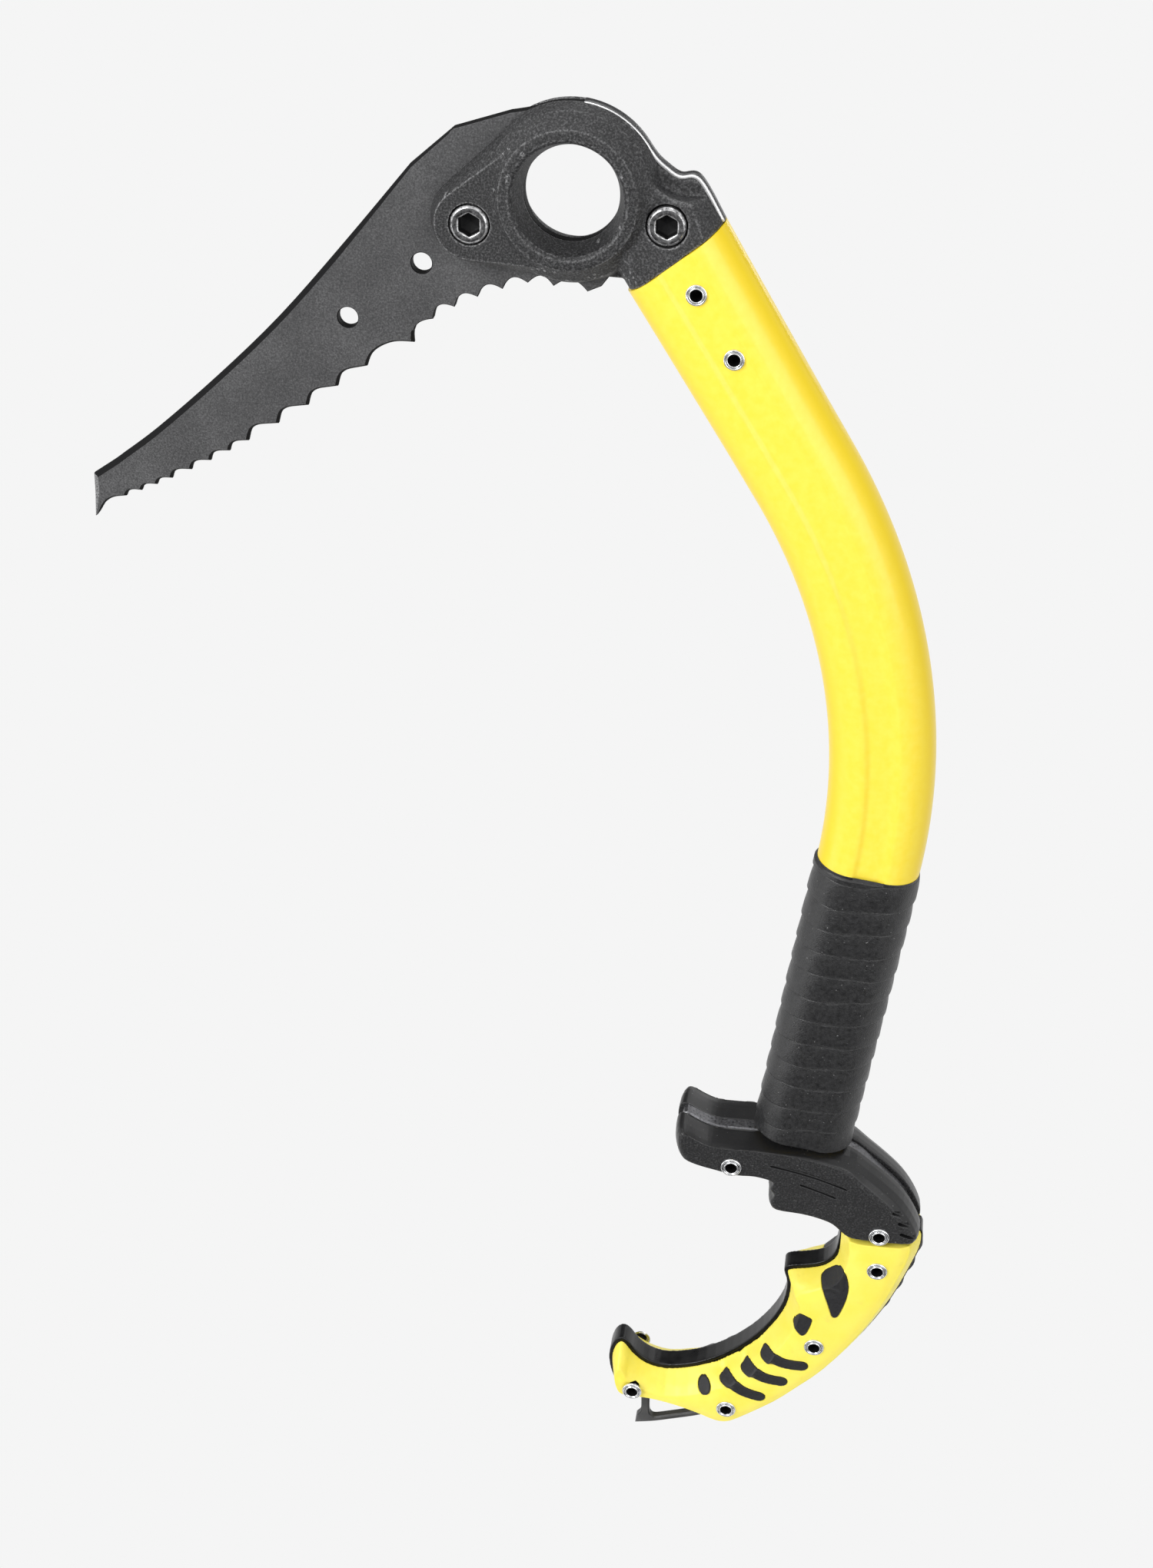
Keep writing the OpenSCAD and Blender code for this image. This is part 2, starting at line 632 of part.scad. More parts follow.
// Grip outlines beside the core and on the outer face, from the shaft's end,
// counter-clockwise from the seam under the guard
grip_inner = shift(loop([
    [43.6, -37.7], [38, -38.5], [20.6, -38.4], [15.9, -37.6], [15.2, -45], [14, -52],
    [10.3, -56.6], [4, -58.8], [-1.6, -60], [-3.6, -62.3], [-2.2, -68.5],
    [-3.4, -78], [-8, -88], [-15, -97.5], [-24, -105.6], [-34, -111.4],
    [-45, -114.2], [-52.2, -112.6], [-56.8, -108.6], [-59.4, -104.8], [-62, -103],
    [-64.8, -104.8], [-66.7, -110.5], [-66.4, -117.5], [-64, -124.6],
    [-60, -126.4], [-51, -127.4], [-41, -129.4], [-32.6, -132.5], [-25.5, -135.8], [-21, -136],
    [-15.2, -132.9], [-1.6, -122.8], [7, -113.9], [15.5, -104.5], [26.6, -88],
    [35.6, -70.3], [41.7, -53.3], [44.2, -44]
], 3), shaft_end);
grip_outer = shift(loop([
    [39.6, -38.8], [36.5, -39.3], [22, -39.3], [19, -39.8], [19.4, -46], [17.6, -54.6],
    [12.4, -61], [6.2, -64.4], [2.6, -66.4], [1.6, -68.6], [3, -72],
    [2.2, -80.3], [-2.4, -91.2], [-10.2, -102.4], [-20, -111.8], [-31.4, -118.8],
    [-45, -121.8], [-54, -119.6], [-58.4, -116.6], [-60.6, -113.2], [-62, -111.6],
    [-63, -112.4], [-63.6, -115], [-63.2, -118.6], [-61.8, -122.4],
    [-58.6, -123.4], [-51, -123.7], [-41, -125.6], [-32.6, -128.4], [-26, -131.2], [-21.6, -131.4],
    [-17.2, -128.8], [-4.8, -119], [3.4, -110.6], [11.6, -101.6], [22.4, -85.6],
    [31.2, -68.4], [37.2, -51.9], [39.6, -43.6]
], 3), shaft_end);

// Inner outline of the shells: the stretch on the hand's side, as shares of the outline, lies further in
hand_side = [0.1, 0.62];
hand_ramp = 0.03;
function at_hand(share) =
    max(0, min(1, (share - hand_side[0]) / hand_ramp, (hand_side[1] - share) / hand_ramp));
shell_inner = inset(grip_inner, [for (i = [0 : len(grip_inner) - 1])
    core_proud + (hand_proud - core_proud) * at_hand(i / len(grip_inner))]);

// Slope of the grip shells, as shares of their height and of the way to the outer outline
grip_slope = [[0, 0], [0.5, 0.49], [0.9, 0.87], [1, 1]];

// Sloping form of the near grip, which runs on past its inner and outer faces
grip_foot = core_w / 2 + slip / 2;
pad_seat = grip_foot + pad_floor;
slope_last = len(grip_slope) - 1;
slope_run_on = 0.2;
slope_start = grip_slope[0] - slope_run_on * (grip_slope[1] - grip_slope[0]);
slope_end = grip_slope[slope_last] + slope_run_on * (grip_slope[slope_last] - grip_slope[slope_last - 1]);
grip_rings = [
    for (g = concat([slope_start], [for (i = [1 : slope_last - 1]) grip_slope[i]], [slope_end]))
        [grip_foot + g[0] * (grip_w / 2 - grip_foot), g[1]]
];
module grip_form() {
    mirror([0, 1, 0]) crowned(shell_inner, grip_outer, grip_rings);
}

// Ribs along the upper back of the core, each on a stretch of its outline
back_rib_ends = shift([[44.2, -42], [42.6, -51], [39.4, -60.4], [35.6, -70.3], [31.3, -79.4]], shaft_end);

// Pockets in the grip shells, each filled by a pad
fin_window = shift(loop([
    [10.6, -62.4], [12.9, -68.1], [14.4, -73.2], [15.4, -74], [16.6, -73.4], [17.8, -70.4], [19.3, -64.9],
    [19.8, -59.5], [18.7, -55], [17.7, -53.4], [16.6, -53.5], [13.3, -56.7], [10.6, -59], [9.9, -60.3]
], 2), shaft_end);
small_window = shift(loop([
    [2, -77], [1, -79.2], [1.6, -81.8], [3.6, -84], [5, -84], [6.3, -82], [7.7, -76.8], [6.9, -75.4],
    [3.8, -74.5], [2.9, -74.9]
], 2), shaft_end);
slot_w = 4.4;
slot_runs = [
    [[-8.2, -96.3], [5.2, -98.8]],
    [[-15.1, -103.8], [-1.9, -107.4]],
    [[-22.7, -110.2], [-9.7, -116.1]]
];
slot_bow = -0.9;
oval_at = [-30.3, -116.3];
oval_size = [2.45, 2.5];

// Outline of a slot that follows a slightly bowed line, shrunk by e
module slot_window(run, e) {
    r = slot_w / 2 - e;
    line = concat([run[0]], arch(run[0], run[1], slot_bow, 6));
    edge = [for (i = [0 : 6])
        let (d = line[min(i + 1, 6)] - line[max(i - 1, 0)]) [d[1], -d[0]] / norm(d)];
    near_edge = [for (i = [1 : 5]) line[i] + r * edge[i]];
    far_edge = [for (i = [5 : -1 : 1]) line[i] - r * edge[i]];
    turn = atan2(edge[6][1], edge[6][0]);
    back = atan2(-edge[0][1], -edge[0][0]);
    half_turn = 180;
    polygon(concat(near_edge, arc(line[6], r, turn, turn + half_turn, 6),
        far_edge, arc(line[0], r, back, back + half_turn, 6)));
}
// All window outlines, shrunk by e
module windows(e) {
    polygon(inset(fin_window, e));
    polygon(inset(small_window, e));
    for (run = slot_runs) translate(shaft_end) slot_window(run, e);
    translate(shaft_end + oval_at) polygon([for (a = [0 : 15 : 345])
        [(oval_size[0] - e) * cos(a), (oval_size[1] - e) * sin(a)]]);
}

module near_grip() {
    outer = grip_w / 2;
    color(yellow) difference() {
        intersection() {
            grip_form();
            plate(-outer, -grip_foot) translate(shaft_end) square(4 * spike_drop, center = true);
        }
        plate(-outer - 1, -pad_seat) windows(0);
        for (p = grip_rivets) rod(p, rivet_r + slip, -outer - 1, 0);
    }
}
module far_grip() { mirror([0, 1, 0]) near_grip(); }

module near_grip_pads() {
    color(rubber) intersection() {
        plate(pad_sink - grip_w / 2, -pad_seat - slip / 2) windows(slip);
        translate([0, pad_sink, 0]) grip_form();
    }
}
module far_grip_pads() { mirror([0, 1, 0]) near_grip_pads(); }

// Handle plate: metal spine through the guard and down the upper half of the grip
plate_outline = shift(loop([
    [18, -6], [9, -3.6], [-2, -1.8], [-15, -1], [-27, -0.9], [-32.2, -0.1], [-36.6, 1.9], [-40.4, 3.8],
    [-42, 2.6], [-42.2, -1.4], [-41.2, -5.2], [-38.6, -8.2],
    [-34, -9.8], [-29, -11], [-22, -12.4], [-15, -12.4], [-8.4, -14.6], [-8.6, -22], [-5, -26.2],
    [2, -27], [9, -29.2], [14.8, -33], [18.8, -40], [19.4, -48], [17, -57], [10.8, -66], [5, -77],
    [1, -87], [2.4, -95], [10, -96], [18, -87], [26, -73.5], [33, -59], [38, -45], [40.8, -36],
    [39.4, -29.4], [35.4, -22.4], [30, -16.8], [24, -11]
], 2), shaft_end);
plate_rivets = concat(guard_rivets, [grip_rivets[0], grip_rivets[1]]);
tang_root = 8;

module handle_plate() {
    color(steel) difference() {
        union() {
            plate(-plate_t / 2, plate_t / 2) polygon(plate_outline);
            on_shaft(shaft_end, lower_lean) translate([-tang_w / 2, -plate_t / 2, -tang_root])
                cube([tang_w, plate_t, tang_len + tang_root]);
        }
        for (p = plate_rivets) rod(p, rivet_r + slip, -plate_t, plate_t);
        for (p = tang_pins) rod(p, tang_pin_r + slip, -plate_t, plate_t);
    }
}

// Spike: plate in the pommel with a leash window behind its post
spike_outline = shift(concat(
    spline([
        [-22, -135.6], [-19, -129], [-14, -121], [-15.6, -114.6], [-23, -113.4], [-31, -116.2],
        [-44, -118.6], [-53, -116.6], [-60, -112.6], [-62.8, -114.8], [-61.6, -121.6]
    ], 2),
    [[-54.8, -125], [-54.6, -140.8], [-55.1, -142.6], [-56.5, -144.1], [-56.9, -spike_drop],
        [-50, -146.5], [-33.5, -141.2]]
), shaft_end);
leash_window = shift([
    [-51.6, -127], [-51.7, -141.4], [-51.2, -143], [-49.8, -144.1], [-37.1, -140], [-30, -137],
    [-33, -131.6], [-41, -128.6]
], shaft_end);
spike_rivets = [grip_rivets[2], grip_rivets[3]];

module spike() {
    color(oxide) difference() {
        plate(-spike_t / 2, spike_t / 2) polygon(spike_outline);
        plate(-spike_t, spike_t) polygon(leash_window);
        for (p = spike_rivets) rod(p, rivet_r + slip, -spike_t, spike_t);
    }
}

// Core between the grip shells, with pockets for the plate and the spike
module grip_core() {
    color(plastic) difference() {
        union() {
            plate(-core_w / 2, core_w / 2) polygon(grip_inner);
            for (i = [0 : len(back_rib_ends) - 2]) {
                start = back_rib_ends[i];
                bulge = arch(start, back_rib_ends[i + 1], core_rib, 8);
                plate(-core_w / 4, core_w / 4) polygon(concat([start], bulge, [grip_rivets[1]]));
            }
        }
        plate(-plate_t / 2 - slip / 2, plate_t / 2 + slip / 2) polygon(inset(plate_outline, -slip));
        plate(-spike_t / 2 - slip / 2, spike_t / 2 + slip / 2) polygon(inset(spike_outline, -slip));
        for (p = grip_rivets) rod(p, rivet_r + slip, -core_w, core_w);
    }
}

module guard_rivet(i) { hollow_rivet(guard_rivets[i], guard_w / 2, rivet_flange_r); }
module grip_rivet(i) { hollow_rivet(grip_rivets[i], grip_w / 2, rivet_flange_r); }
module guard_front_rivet() { guard_rivet(0); }
module guard_rear_rivet() { guard_rivet(1); }
module grip_top_rivet() { grip_rivet(0); }
module grip_palm_rivet() { grip_rivet(1); }
module pommel_rear_rivet() { grip_rivet(2); }
module pommel_front_rivet() { grip_rivet(3); }

head();
pick();
front_pick_bolt();
rear_pick_bolt();
front_pick_nut();
rear_pick_nut();
shaft();
upper_head_rivet();
lower_head_rivet();
tang_plug();
upper_tang_pin();
lower_tang_pin();
grip_tape_base();
grip_tape();
handle_plate();
near_guard();
far_guard();
guard_front_rivet();
guard_rear_rivet();
grip_core();
near_grip();
far_grip();
near_grip_pads();
far_grip_pads();
spike();
grip_top_rivet();
grip_palm_rivet();
pommel_rear_rivet();
pommel_front_rivet();
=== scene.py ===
"""Looks of an ice climbing tool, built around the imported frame.
Lengths are millimetres in the part's own frame unless a name ends in _m."""
import math

import bmesh
import bpy
import numpy as np
from mathutils import Matrix, Vector, noise
from mathutils.geometry import delaunay_2d_cdt


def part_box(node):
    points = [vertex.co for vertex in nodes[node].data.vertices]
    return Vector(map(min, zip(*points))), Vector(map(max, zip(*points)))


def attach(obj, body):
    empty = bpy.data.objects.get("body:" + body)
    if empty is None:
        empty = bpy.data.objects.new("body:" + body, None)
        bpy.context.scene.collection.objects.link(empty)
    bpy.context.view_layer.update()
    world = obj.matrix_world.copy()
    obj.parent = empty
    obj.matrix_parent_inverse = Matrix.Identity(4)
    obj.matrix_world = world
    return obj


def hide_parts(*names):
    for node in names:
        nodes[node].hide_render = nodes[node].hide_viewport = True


MM = 0.001
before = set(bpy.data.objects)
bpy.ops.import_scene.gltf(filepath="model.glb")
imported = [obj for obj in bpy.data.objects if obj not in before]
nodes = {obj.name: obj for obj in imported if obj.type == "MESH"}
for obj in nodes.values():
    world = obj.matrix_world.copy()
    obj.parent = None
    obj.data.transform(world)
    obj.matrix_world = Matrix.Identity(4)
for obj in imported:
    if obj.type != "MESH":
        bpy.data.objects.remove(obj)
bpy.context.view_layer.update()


# Colour and node helpers

# Places of a colour mix's sockets, whose names repeat
MIX_SHARE, MIX_A, MIX_B, MIX_RESULT = 0, 6, 7, 2
# Most of a noise pattern lies between these values
USUAL = {"From Min": 0.3, "From Max": 0.7}


def linear(code):
    """sRGB hex code to a linear RGBA colour."""
    channels = [int(code[i:i + 2], 16) / 255 for i in (1, 3, 5)]
    return [c / 12.92 if c <= 0.04045 else ((c + 0.055) / 1.055) ** 2.4 for c in channels] + [1.0]


def feed(material, node, inputs):
    """Gives inputs of a node a link, a hex colour or a plain value each."""
    for name, value in inputs.items():
        if isinstance(value, bpy.types.NodeSocket):
            material.node_tree.links.new(value, node.inputs[name])
        else:
            node.inputs[name].default_value = linear(value) if isinstance(value, str) else value


def add(material, kind, give, inputs, stops=(), **settings):
    """Adds a shader node with its settings, its inputs and a ramp's (position, hex colour) stops, and
    returns the output to give."""
    node = material.node_tree.nodes.new("ShaderNode" + kind)
    for name, value in settings.items():
        setattr(node, name, value)
    for _ in stops[2:]:
        node.color_ramp.elements.new(0.5)
    for place, (position, code) in enumerate(stops):
        node.color_ramp.elements[place].position = position
        node.color_ramp.elements[place].color = linear(code)
    feed(material, node, inputs)
    return None if give is None else node.outputs[give]


def pattern(place, size_mm, detail=2.0, breakup=0.5):
    """Inputs of a pattern whose grains are about size_mm across."""
    return {"Vector": place, "Scale": 1 / (size_mm * MM), "Detail": detail, "Roughness": breakup}


def begun(name):
    """New material, and the place on the part that its patterns follow."""
    material = bpy.data.materials.new(name)
    material.use_nodes = True
    return material, add(material, "TexCoord", "Object", {})


def finished(material, tone, gloss, relief=None, looks=None):
    """Ends a material with its tone and gloss, a relief as a height of 0 to 1 and its depth in
    millimetres, and other looks."""
    inputs = {"Base Color": tone, "Roughness": gloss, **(looks or {})}
    if relief:
        height, depth = relief
        inputs["Normal"] = add(material, "Bump", "Normal", {
            "Height": height, "Distance": depth * MM, "Strength": 1.0})
    feed(material, material.node_tree.nodes["Principled BSDF"], inputs)
    return material


def grained(name, size_mm, detail, breakup, tones, gloss, depth=None, looks=None):
    """Finish with one pattern, which sets its tone, its gloss and, if it has a depth, its relief."""
    m, place = begun(name)
    grains = add(m, "TexNoise", "Fac", pattern(place, size_mm, detail, breakup))
    tone = add(m, "ValToRGB", "Color", {"Fac": grains}, tones)
    shine = add(m, "MapRange", "Result", {"Value": grains, **USUAL, "To Min": gloss[0], "To Max": gloss[1]})
    return finished(m, tone, shine, (grains, depth) if depth else None, looks)


def facing_side(material):
    """1 on surfaces that face along Y, and 0 on edges and rims."""
    normal = add(material, "NewGeometry", "Normal", {})
    across = add(material, "SeparateXYZ", "Y", {"Vector": normal})
    return add(material, "Math", "Value", {0: across}, operation="ABSOLUTE")


# Materials. A pixel of the full render is about 0.2 mm, so grit, pores and tool marks, which are finer
# than that, are drawn 0.35 mm or more across to show at all.

def forged_steel():
    """Hot-forged alloy steel under a thin black coat: a sand-like skin, drawn coarser than it is, and
    paler in speckles along sharp edges: rubbed edges, and a painted highlight along them."""
    m, place = begun("forged_steel")
    skin = add(m, "TexNoise", "Fac", pattern(place, 0.6, 3.0, 0.65))
    lumps = add(m, "TexNoise", "Fac", pattern(place, 3.0))
    edge = add(m, "NewGeometry", "Pointiness", {})
    # Pale speckles along sharp convex edges: edge wear, and painted highlight lines along the edges
    edge_wear_and_highlight = add(m, "MapRange", "Result", {"Value": edge, "From Min": 0.506, "From Max": 0.54})
    speckle = add(m, "MapRange", "Result", {"Value": skin, "From Min": 0.38, "From Max": 0.62})
    rubbed = add(m, "Math", "Value", {0: edge_wear_and_highlight, 1: speckle}, operation="MULTIPLY")
    base = add(m, "ValToRGB", "Color", {"Fac": skin}, [
        (0.34, "#1a1a1b"), (0.5, "#2f2f30"), (0.66, "#535354")])
    tone = add(m, "Mix", MIX_RESULT, {MIX_SHARE: rubbed, MIX_A: base, MIX_B: "#8d8d8e"}, data_type="RGBA")
    height = add(m, "Math", "Value", {0: skin, 1: lumps}, operation="ADD")
    return finished(m, tone, 0.58, (height, 0.12), {"Metallic": 0.2, "Specular IOR Level": 0.4})


def blasted_steel():
    """Bead-blasted tool steel: satin dark grey with a fine grit, drawn coarser than it is, and faint
    clouds."""
    m, place = begun("blasted_steel")
    grit = add(m, "TexNoise", "Fac", pattern(place, 0.55, 3.0, 0.7))
    clouds = add(m, "TexNoise", "Fac", pattern(place, 18.0))
    drift = add(m, "MapRange", "Result", {"Value": clouds, **USUAL, "To Min": -0.06, "To Max": 0.06})
    shade = add(m, "Math", "Value", {0: grit, 1: drift}, operation="ADD")
    tone = add(m, "ValToRGB", "Color", {"Fac": shade}, [(0.3, "#383839"), (0.5, "#4b4b4c"), (0.7, "#636364")])
    gloss = add(m, "MapRange", "Result", {"Value": grit, **USUAL, "To Min": 0.46, "To Max": 0.6})
    return finished(m, tone, gloss, (grit, 0.05), {"Metallic": 0.2, "Specular IOR Level": 0.35})


def yellow_enamel():
    """Glossy powder coat on a drawn tube: bright yellow with a very fine orange peel, paler with a
    painted sheen on the flat sides, and deeper with painted shade on the rounded sides."""
    m, place = begun("yellow_enamel")
    peel = add(m, "TexNoise", "Fac", pattern(place, 2.4))
    # The pale tone on the flat sides is a painted sheen, and the deeper yellow on the rounded sides is
    # painted shade
    thin = add(m, "ValToRGB", "Color", {"Fac": peel}, [(0.3, "#f9df44"), (0.7, "#fbe452")])
    flat = add(m, "MapRange", "Result", {"Value": facing_side(m), "From Min": 0.55, "From Max": 0.98})
    tone = add(m, "Mix", MIX_RESULT, {MIX_SHARE: flat, MIX_A: "#f6d608", MIX_B: thin}, data_type="RGBA")
    return finished(m, tone, 0.32, (peel, 0.02), {
        "Specular IOR Level": 0.4, "Coat Weight": 0.15, "Coat Roughness": 0.1})


def dusted(m, place, base, dust_tone):
    """Tone with a few pale specks of dust on it."""
    dust = add(m, "TexNoise", "Fac", pattern(place, 0.6, 0.0))
    specks = add(m, "MapRange", "Result", {"Value": dust, "From Min": 0.82, "From Max": 0.86})
    return add(m, "Mix", MIX_RESULT, {MIX_SHARE: specks, MIX_A: base, MIX_B: dust_tone}, data_type="RGBA")


def tape_rubber():
    """Self-amalgamating rubber tape: satin black, smeared, with pale dust and pores that are drawn
    coarser than they are."""
    m, place = begun("tape_rubber")
    smear = add(m, "TexNoise", "Fac", pattern(place, 1.3, 4.0, 0.65))
    pores = add(m, "TexNoise", "Fac", pattern(place, 0.4))
    base = add(m, "ValToRGB", "Color", {"Fac": smear}, [(0.3, "#171718"), (0.7, "#2b2b2c")])
    gloss = add(m, "MapRange", "Result", {"Value": smear, **USUAL, "To Min": 0.3, "To Max": 0.46})
    height = add(m, "Math", "Value", {0: smear, 1: pores}, operation="ADD")
    return finished(m, dusted(m, place, base, "#6f6f6f"), gloss, (height, 0.12), {"Specular IOR Level": 0.5})


def spark_eroded_nylon():
    """Glass-filled nylon from a spark-eroded mould: black, smooth on the shelf, and on the sides with a
    pebble that is drawn coarser than it is."""
    m, place = begun("spark_eroded_nylon")
    pebble = add(m, "TexNoise", "Fac", pattern(place, 0.6, 3.0, 0.65))
    side = add(m, "MapRange", "Result", {"Value": facing_side(m), "From Min": 0.7, "From Max": 0.92})
    coarse = add(m, "ValToRGB", "Color", {"Fac": pebble}, [
        (0.34, "#121213"), (0.52, "#212122"), (0.7, "#434344")])
    smooth = add(m, "ValToRGB", "Color", {"Fac": pebble}, [(0.3, "#171718"), (0.7, "#202021")])
    skin = add(m, "Mix", MIX_RESULT, {MIX_SHARE: side, MIX_A: smooth, MIX_B: coarse}, data_type="RGBA")
    # Concave crevices painted near black: painted shade where little light reaches
    hollow = add(m, "NewGeometry", "Pointiness", {})
    crevice_shade = add(m, "MapRange", "Result", {"Value": hollow, "From Min": 0.44, "From Max": 0.49})
    base = add(m, "Mix", MIX_RESULT, {MIX_SHARE: crevice_shade, MIX_A: "#020202", MIX_B: skin}, data_type="RGBA")
    gloss = add(m, "MapRange", "Result", {"Value": side, "To Min": 0.34, "To Max": 0.5})
    height = add(m, "Math", "Value", {0: pebble, 1: side}, operation="MULTIPLY")
    return finished(m, dusted(m, place, base, "#6a6a6a"), gloss, (height, 0.16), {"Specular IOR Level": 0.4})


def smooth_nylon():
    """Black nylon from a polished mould: soft satin with faint flow marks."""
    m, place = begun("smooth_nylon")
    flow = add(m, "TexNoise", "Fac", pattern(place, 4.0, 3.0))
    grit = add(m, "TexNoise", "Fac", pattern(place, 0.5))
    tone = add(m, "ValToRGB", "Color", {"Fac": flow}, [(0.3, "#0b0b0c"), (0.7, "#131314")])
    gloss = add(m, "MapRange", "Result", {"Value": flow, **USUAL, "To Min": 0.26, "To Max": 0.36})
    return finished(m, tone, gloss, (grit, 0.02), {"Specular IOR Level": 0.4})


def yellow_plastic():
    """Bright yellow moulded plastic: satin, with faint scuffs and flow lines."""
    m, place = begun("yellow_plastic")
    flow = add(m, "TexNoise", "Fac", pattern(place, 9.0, 4.0, 0.6))
    scuff = add(m, "TexNoise", "Fac", pattern(place, 6.0, 5.0, 0.7))
    base = add(m, "ValToRGB", "Color", {"Fac": flow}, [(0.3, "#f9e64e"), (0.7, "#fbec64")])
    rubbed = add(m, "MapRange", "Result", {"Value": scuff, "From Min": 0.6, "From Max": 0.8})
    tone = add(m, "Mix", MIX_RESULT, {MIX_SHARE: rubbed, MIX_A: base, MIX_B: "#ecdc58"}, data_type="RGBA")
    gloss = add(m, "MapRange", "Result", {"Value": scuff, **USUAL, "To Min": 0.34, "To Max": 0.5})
    return finished(m, tone, gloss, (scuff, 0.04), {
        "Subsurface Weight": 0.08, "Subsurface Scale": 1.0 * MM, "Subsurface Radius": (1.0, 0.8, 0.2)})


def coated_steel():
    """Hardened steel under a black satin coat, paler along sharp edges: rubbed edges, and a painted highlight
    along them.
    """
    m, place = begun("coated_steel")
    skin = add(m, "TexNoise", "Fac", pattern(place, 0.7, 3.0))
    edge = add(m, "NewGeometry", "Pointiness", {})
    base = add(m, "ValToRGB", "Color", {"Fac": skin}, [(0.3, "#151516"), (0.7, "#242425")])
    # Paler along sharp convex edges: edge wear, and a painted highlight
    edge_wear_and_highlight = add(m, "MapRange", "Result", {"Value": edge, "From Min": 0.53, "From Max": 0.6})
    tone = add(m, "Mix", MIX_RESULT, {MIX_SHARE: edge_wear_and_highlight, MIX_A: base, MIX_B: "#6d6d6e"}, data_type="RGBA")
    gloss = add(m, "MapRange", "Result", {"Value": skin, **USUAL, "To Min": 0.36, "To Max": 0.5})
    return finished(m, tone, gloss, (skin, 0.04), {"Metallic": 0.3})


FORGED = forged_steel()
# Steel where the forging's flash was sheared off: dark grey, with fine lines across the strip
TRIMMED = grained("trimmed_steel", 0.5, 4.0, 0.7, [(0.3, "#3f3f40"), (0.7, "#616162")], (0.34, 0.5), 0.03,
                  {"Metallic": 0.7})
# Bare burnished steel where the shear left a narrow edge: nearly white
BARE = grained("bare_edge", 0.8, 3.0, 0.6, [(0.3, "#d9d9da"), (0.7, "#f4f4f4")], (0.3, 0.45),
               looks={"Metallic": 0.6})
BLASTED = blasted_steel()
# Cut edge of the blade, coloured nearly black and matt, so that it draws a dark line round the blade
DARK_CUT = grained("dark_cut_edge", 0.5, 3.0, 0.6, [(0.3, "#080809"), (0.7, "#141415")], (0.55, 0.75),
                 looks={"Specular IOR Level": 0.12})
# Steel as a coarse wheel leaves it: mid grey with short lines, drawn coarser than they are
GROUND = grained("ground_steel", 0.35, 2.0, 0.7, [(0.38, "#3a3a3b"), (0.62, "#9a9a9b")], (0.4, 0.6),
                 looks={"Metallic": 0.5})
# Black oxide on machined steel: dark, with an oily metal sheen
OXIDE = grained("black_oxide", 0.9, 3.0, 0.6, [(0.35, "#3a3a3b"), (0.55, "#5c5c5d"), (0.75, "#8b8b8c")],
                (0.24, 0.4), 0.02, {"Metallic": 0.6})
# Black oxide worn through to steel on a bolt's rim: pale grey with dark scraps, and near white as a painted
# highlight
RIM_WEAR_AND_HIGHLIGHT = grained("rim_wear_and_highlight", 1.1, 3.0, 0.65, [(0.36, "#6a6a6b"), (0.5, "#b4b4b5"), (0.7, "#ececed")],
                 (0.22, 0.38), looks={"Metallic": 0.8})
ENAMEL = yellow_enamel()
# Bright nickel-chrome plate on turned rivets: bright, softened by faint tool marks
PLATED = grained("plated_steel", 0.6, 2.0, 0.5, [(0.3, "#d9dadc"), (0.7, "#eeeff0")], (0.16, 0.26),
                 looks={"Metallic": 1.0})
# Inside of a rivet or a key's socket: painted shade, nearly black, as little light reaches in
SHADED_BORE = grained("bore_shade", 0.7, 2.0, 0.5, [(0.3, "#0b0b0c"), (0.7, "#161617")], (0.5, 0.7),
               looks={"Metallic": 0.3, "Specular IOR Level": 0.2})
TAPE = tape_rubber()
PEBBLED = spark_eroded_nylon()
SMOOTH = smooth_nylon()
# Blued steel sheet, seen on its cut edge: dark, with burnished corners
SHEARED = grained("sheared_plate", 0.8, 3.0, 0.6, [(0.3, "#4c4c4e"), (0.7, "#77777a")], (0.25, 0.4),
                  looks={"Metallic": 0.8})
YELLOW = yellow_plastic()
# Soft moulded rubber: dark grey and matt, with a drag grain that is drawn coarser than it is
PAD = grained("pad_rubber", 0.7, 3.0, 0.6, [(0.3, "#19191b"), (0.7, "#28282a")], (0.45, 0.6), 0.06,
              {"Specular IOR Level": 0.35})
COATED = coated_steel()


# Mesh helpers

SMOOTH_FACTOR = 0.5
BLEND_ROUNDS = 60
CORNER_TURN = math.radians(32)
CORNER_CUT = 1.4
CUT_SHARE = 0.25
STRAIGHT = 0.01
# A mitre reaches in no further than the edge's width divided by this
MITRE_LEAST = 0.5
PLATE_CREASE = math.radians(20)
EDGE_SHARES = (0.0, 0.5, 1.0)
DRILL_SIDES = 40
SMALL_EDGE = (0.25, 0.25)
# Points nearer than this are one, and points this near to a face lie on it
WELD = 0.002
ON_FACE = 0.01
# Constrained triangles: those inside the outlines, and the distance at which points are one
ENCLOSED = 1
SAME_POINT = 1e-5


def smooth_step(t):
    """Soft rise from 0 to 1."""
    t = min(max(t, 0.0), 1.0)
    return t * t * (3 - 2 * t)


def through(points, steps):
    """Smooth curve through points."""
    curve = []
    for i in range(len(points) - 1):
        a = points[max(i - 1, 0)]
        b, c = points[i], points[i + 1]
        d = points[min(i + 2, len(points) - 1)]
        for k in range(steps):
            t = k / steps
            curve.append((2 * b + (c - a) * t + (2 * a - 5 * b + 4 * c - d) * t * t
                          + (3 * b - a - 3 * c + d) * t ** 3) / 2)
    curve.append(points[-1])
    return curve


def centre(node):
    """Middle of a CAD node."""
    low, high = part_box(node)
    return (low + high) / (2 * MM)


def piece(name, verts, faces, material, body="tool", replaced=()):
    """New mesh piece in millimetres that rides on a body and may stand for CAD nodes."""
    mesh = bpy.data.meshes.new(name)
    mesh.from_pydata([Vector(v) * MM for v in verts], [], faces)
    mesh.validate()
    return dressed(name, mesh, material, body, replaced)


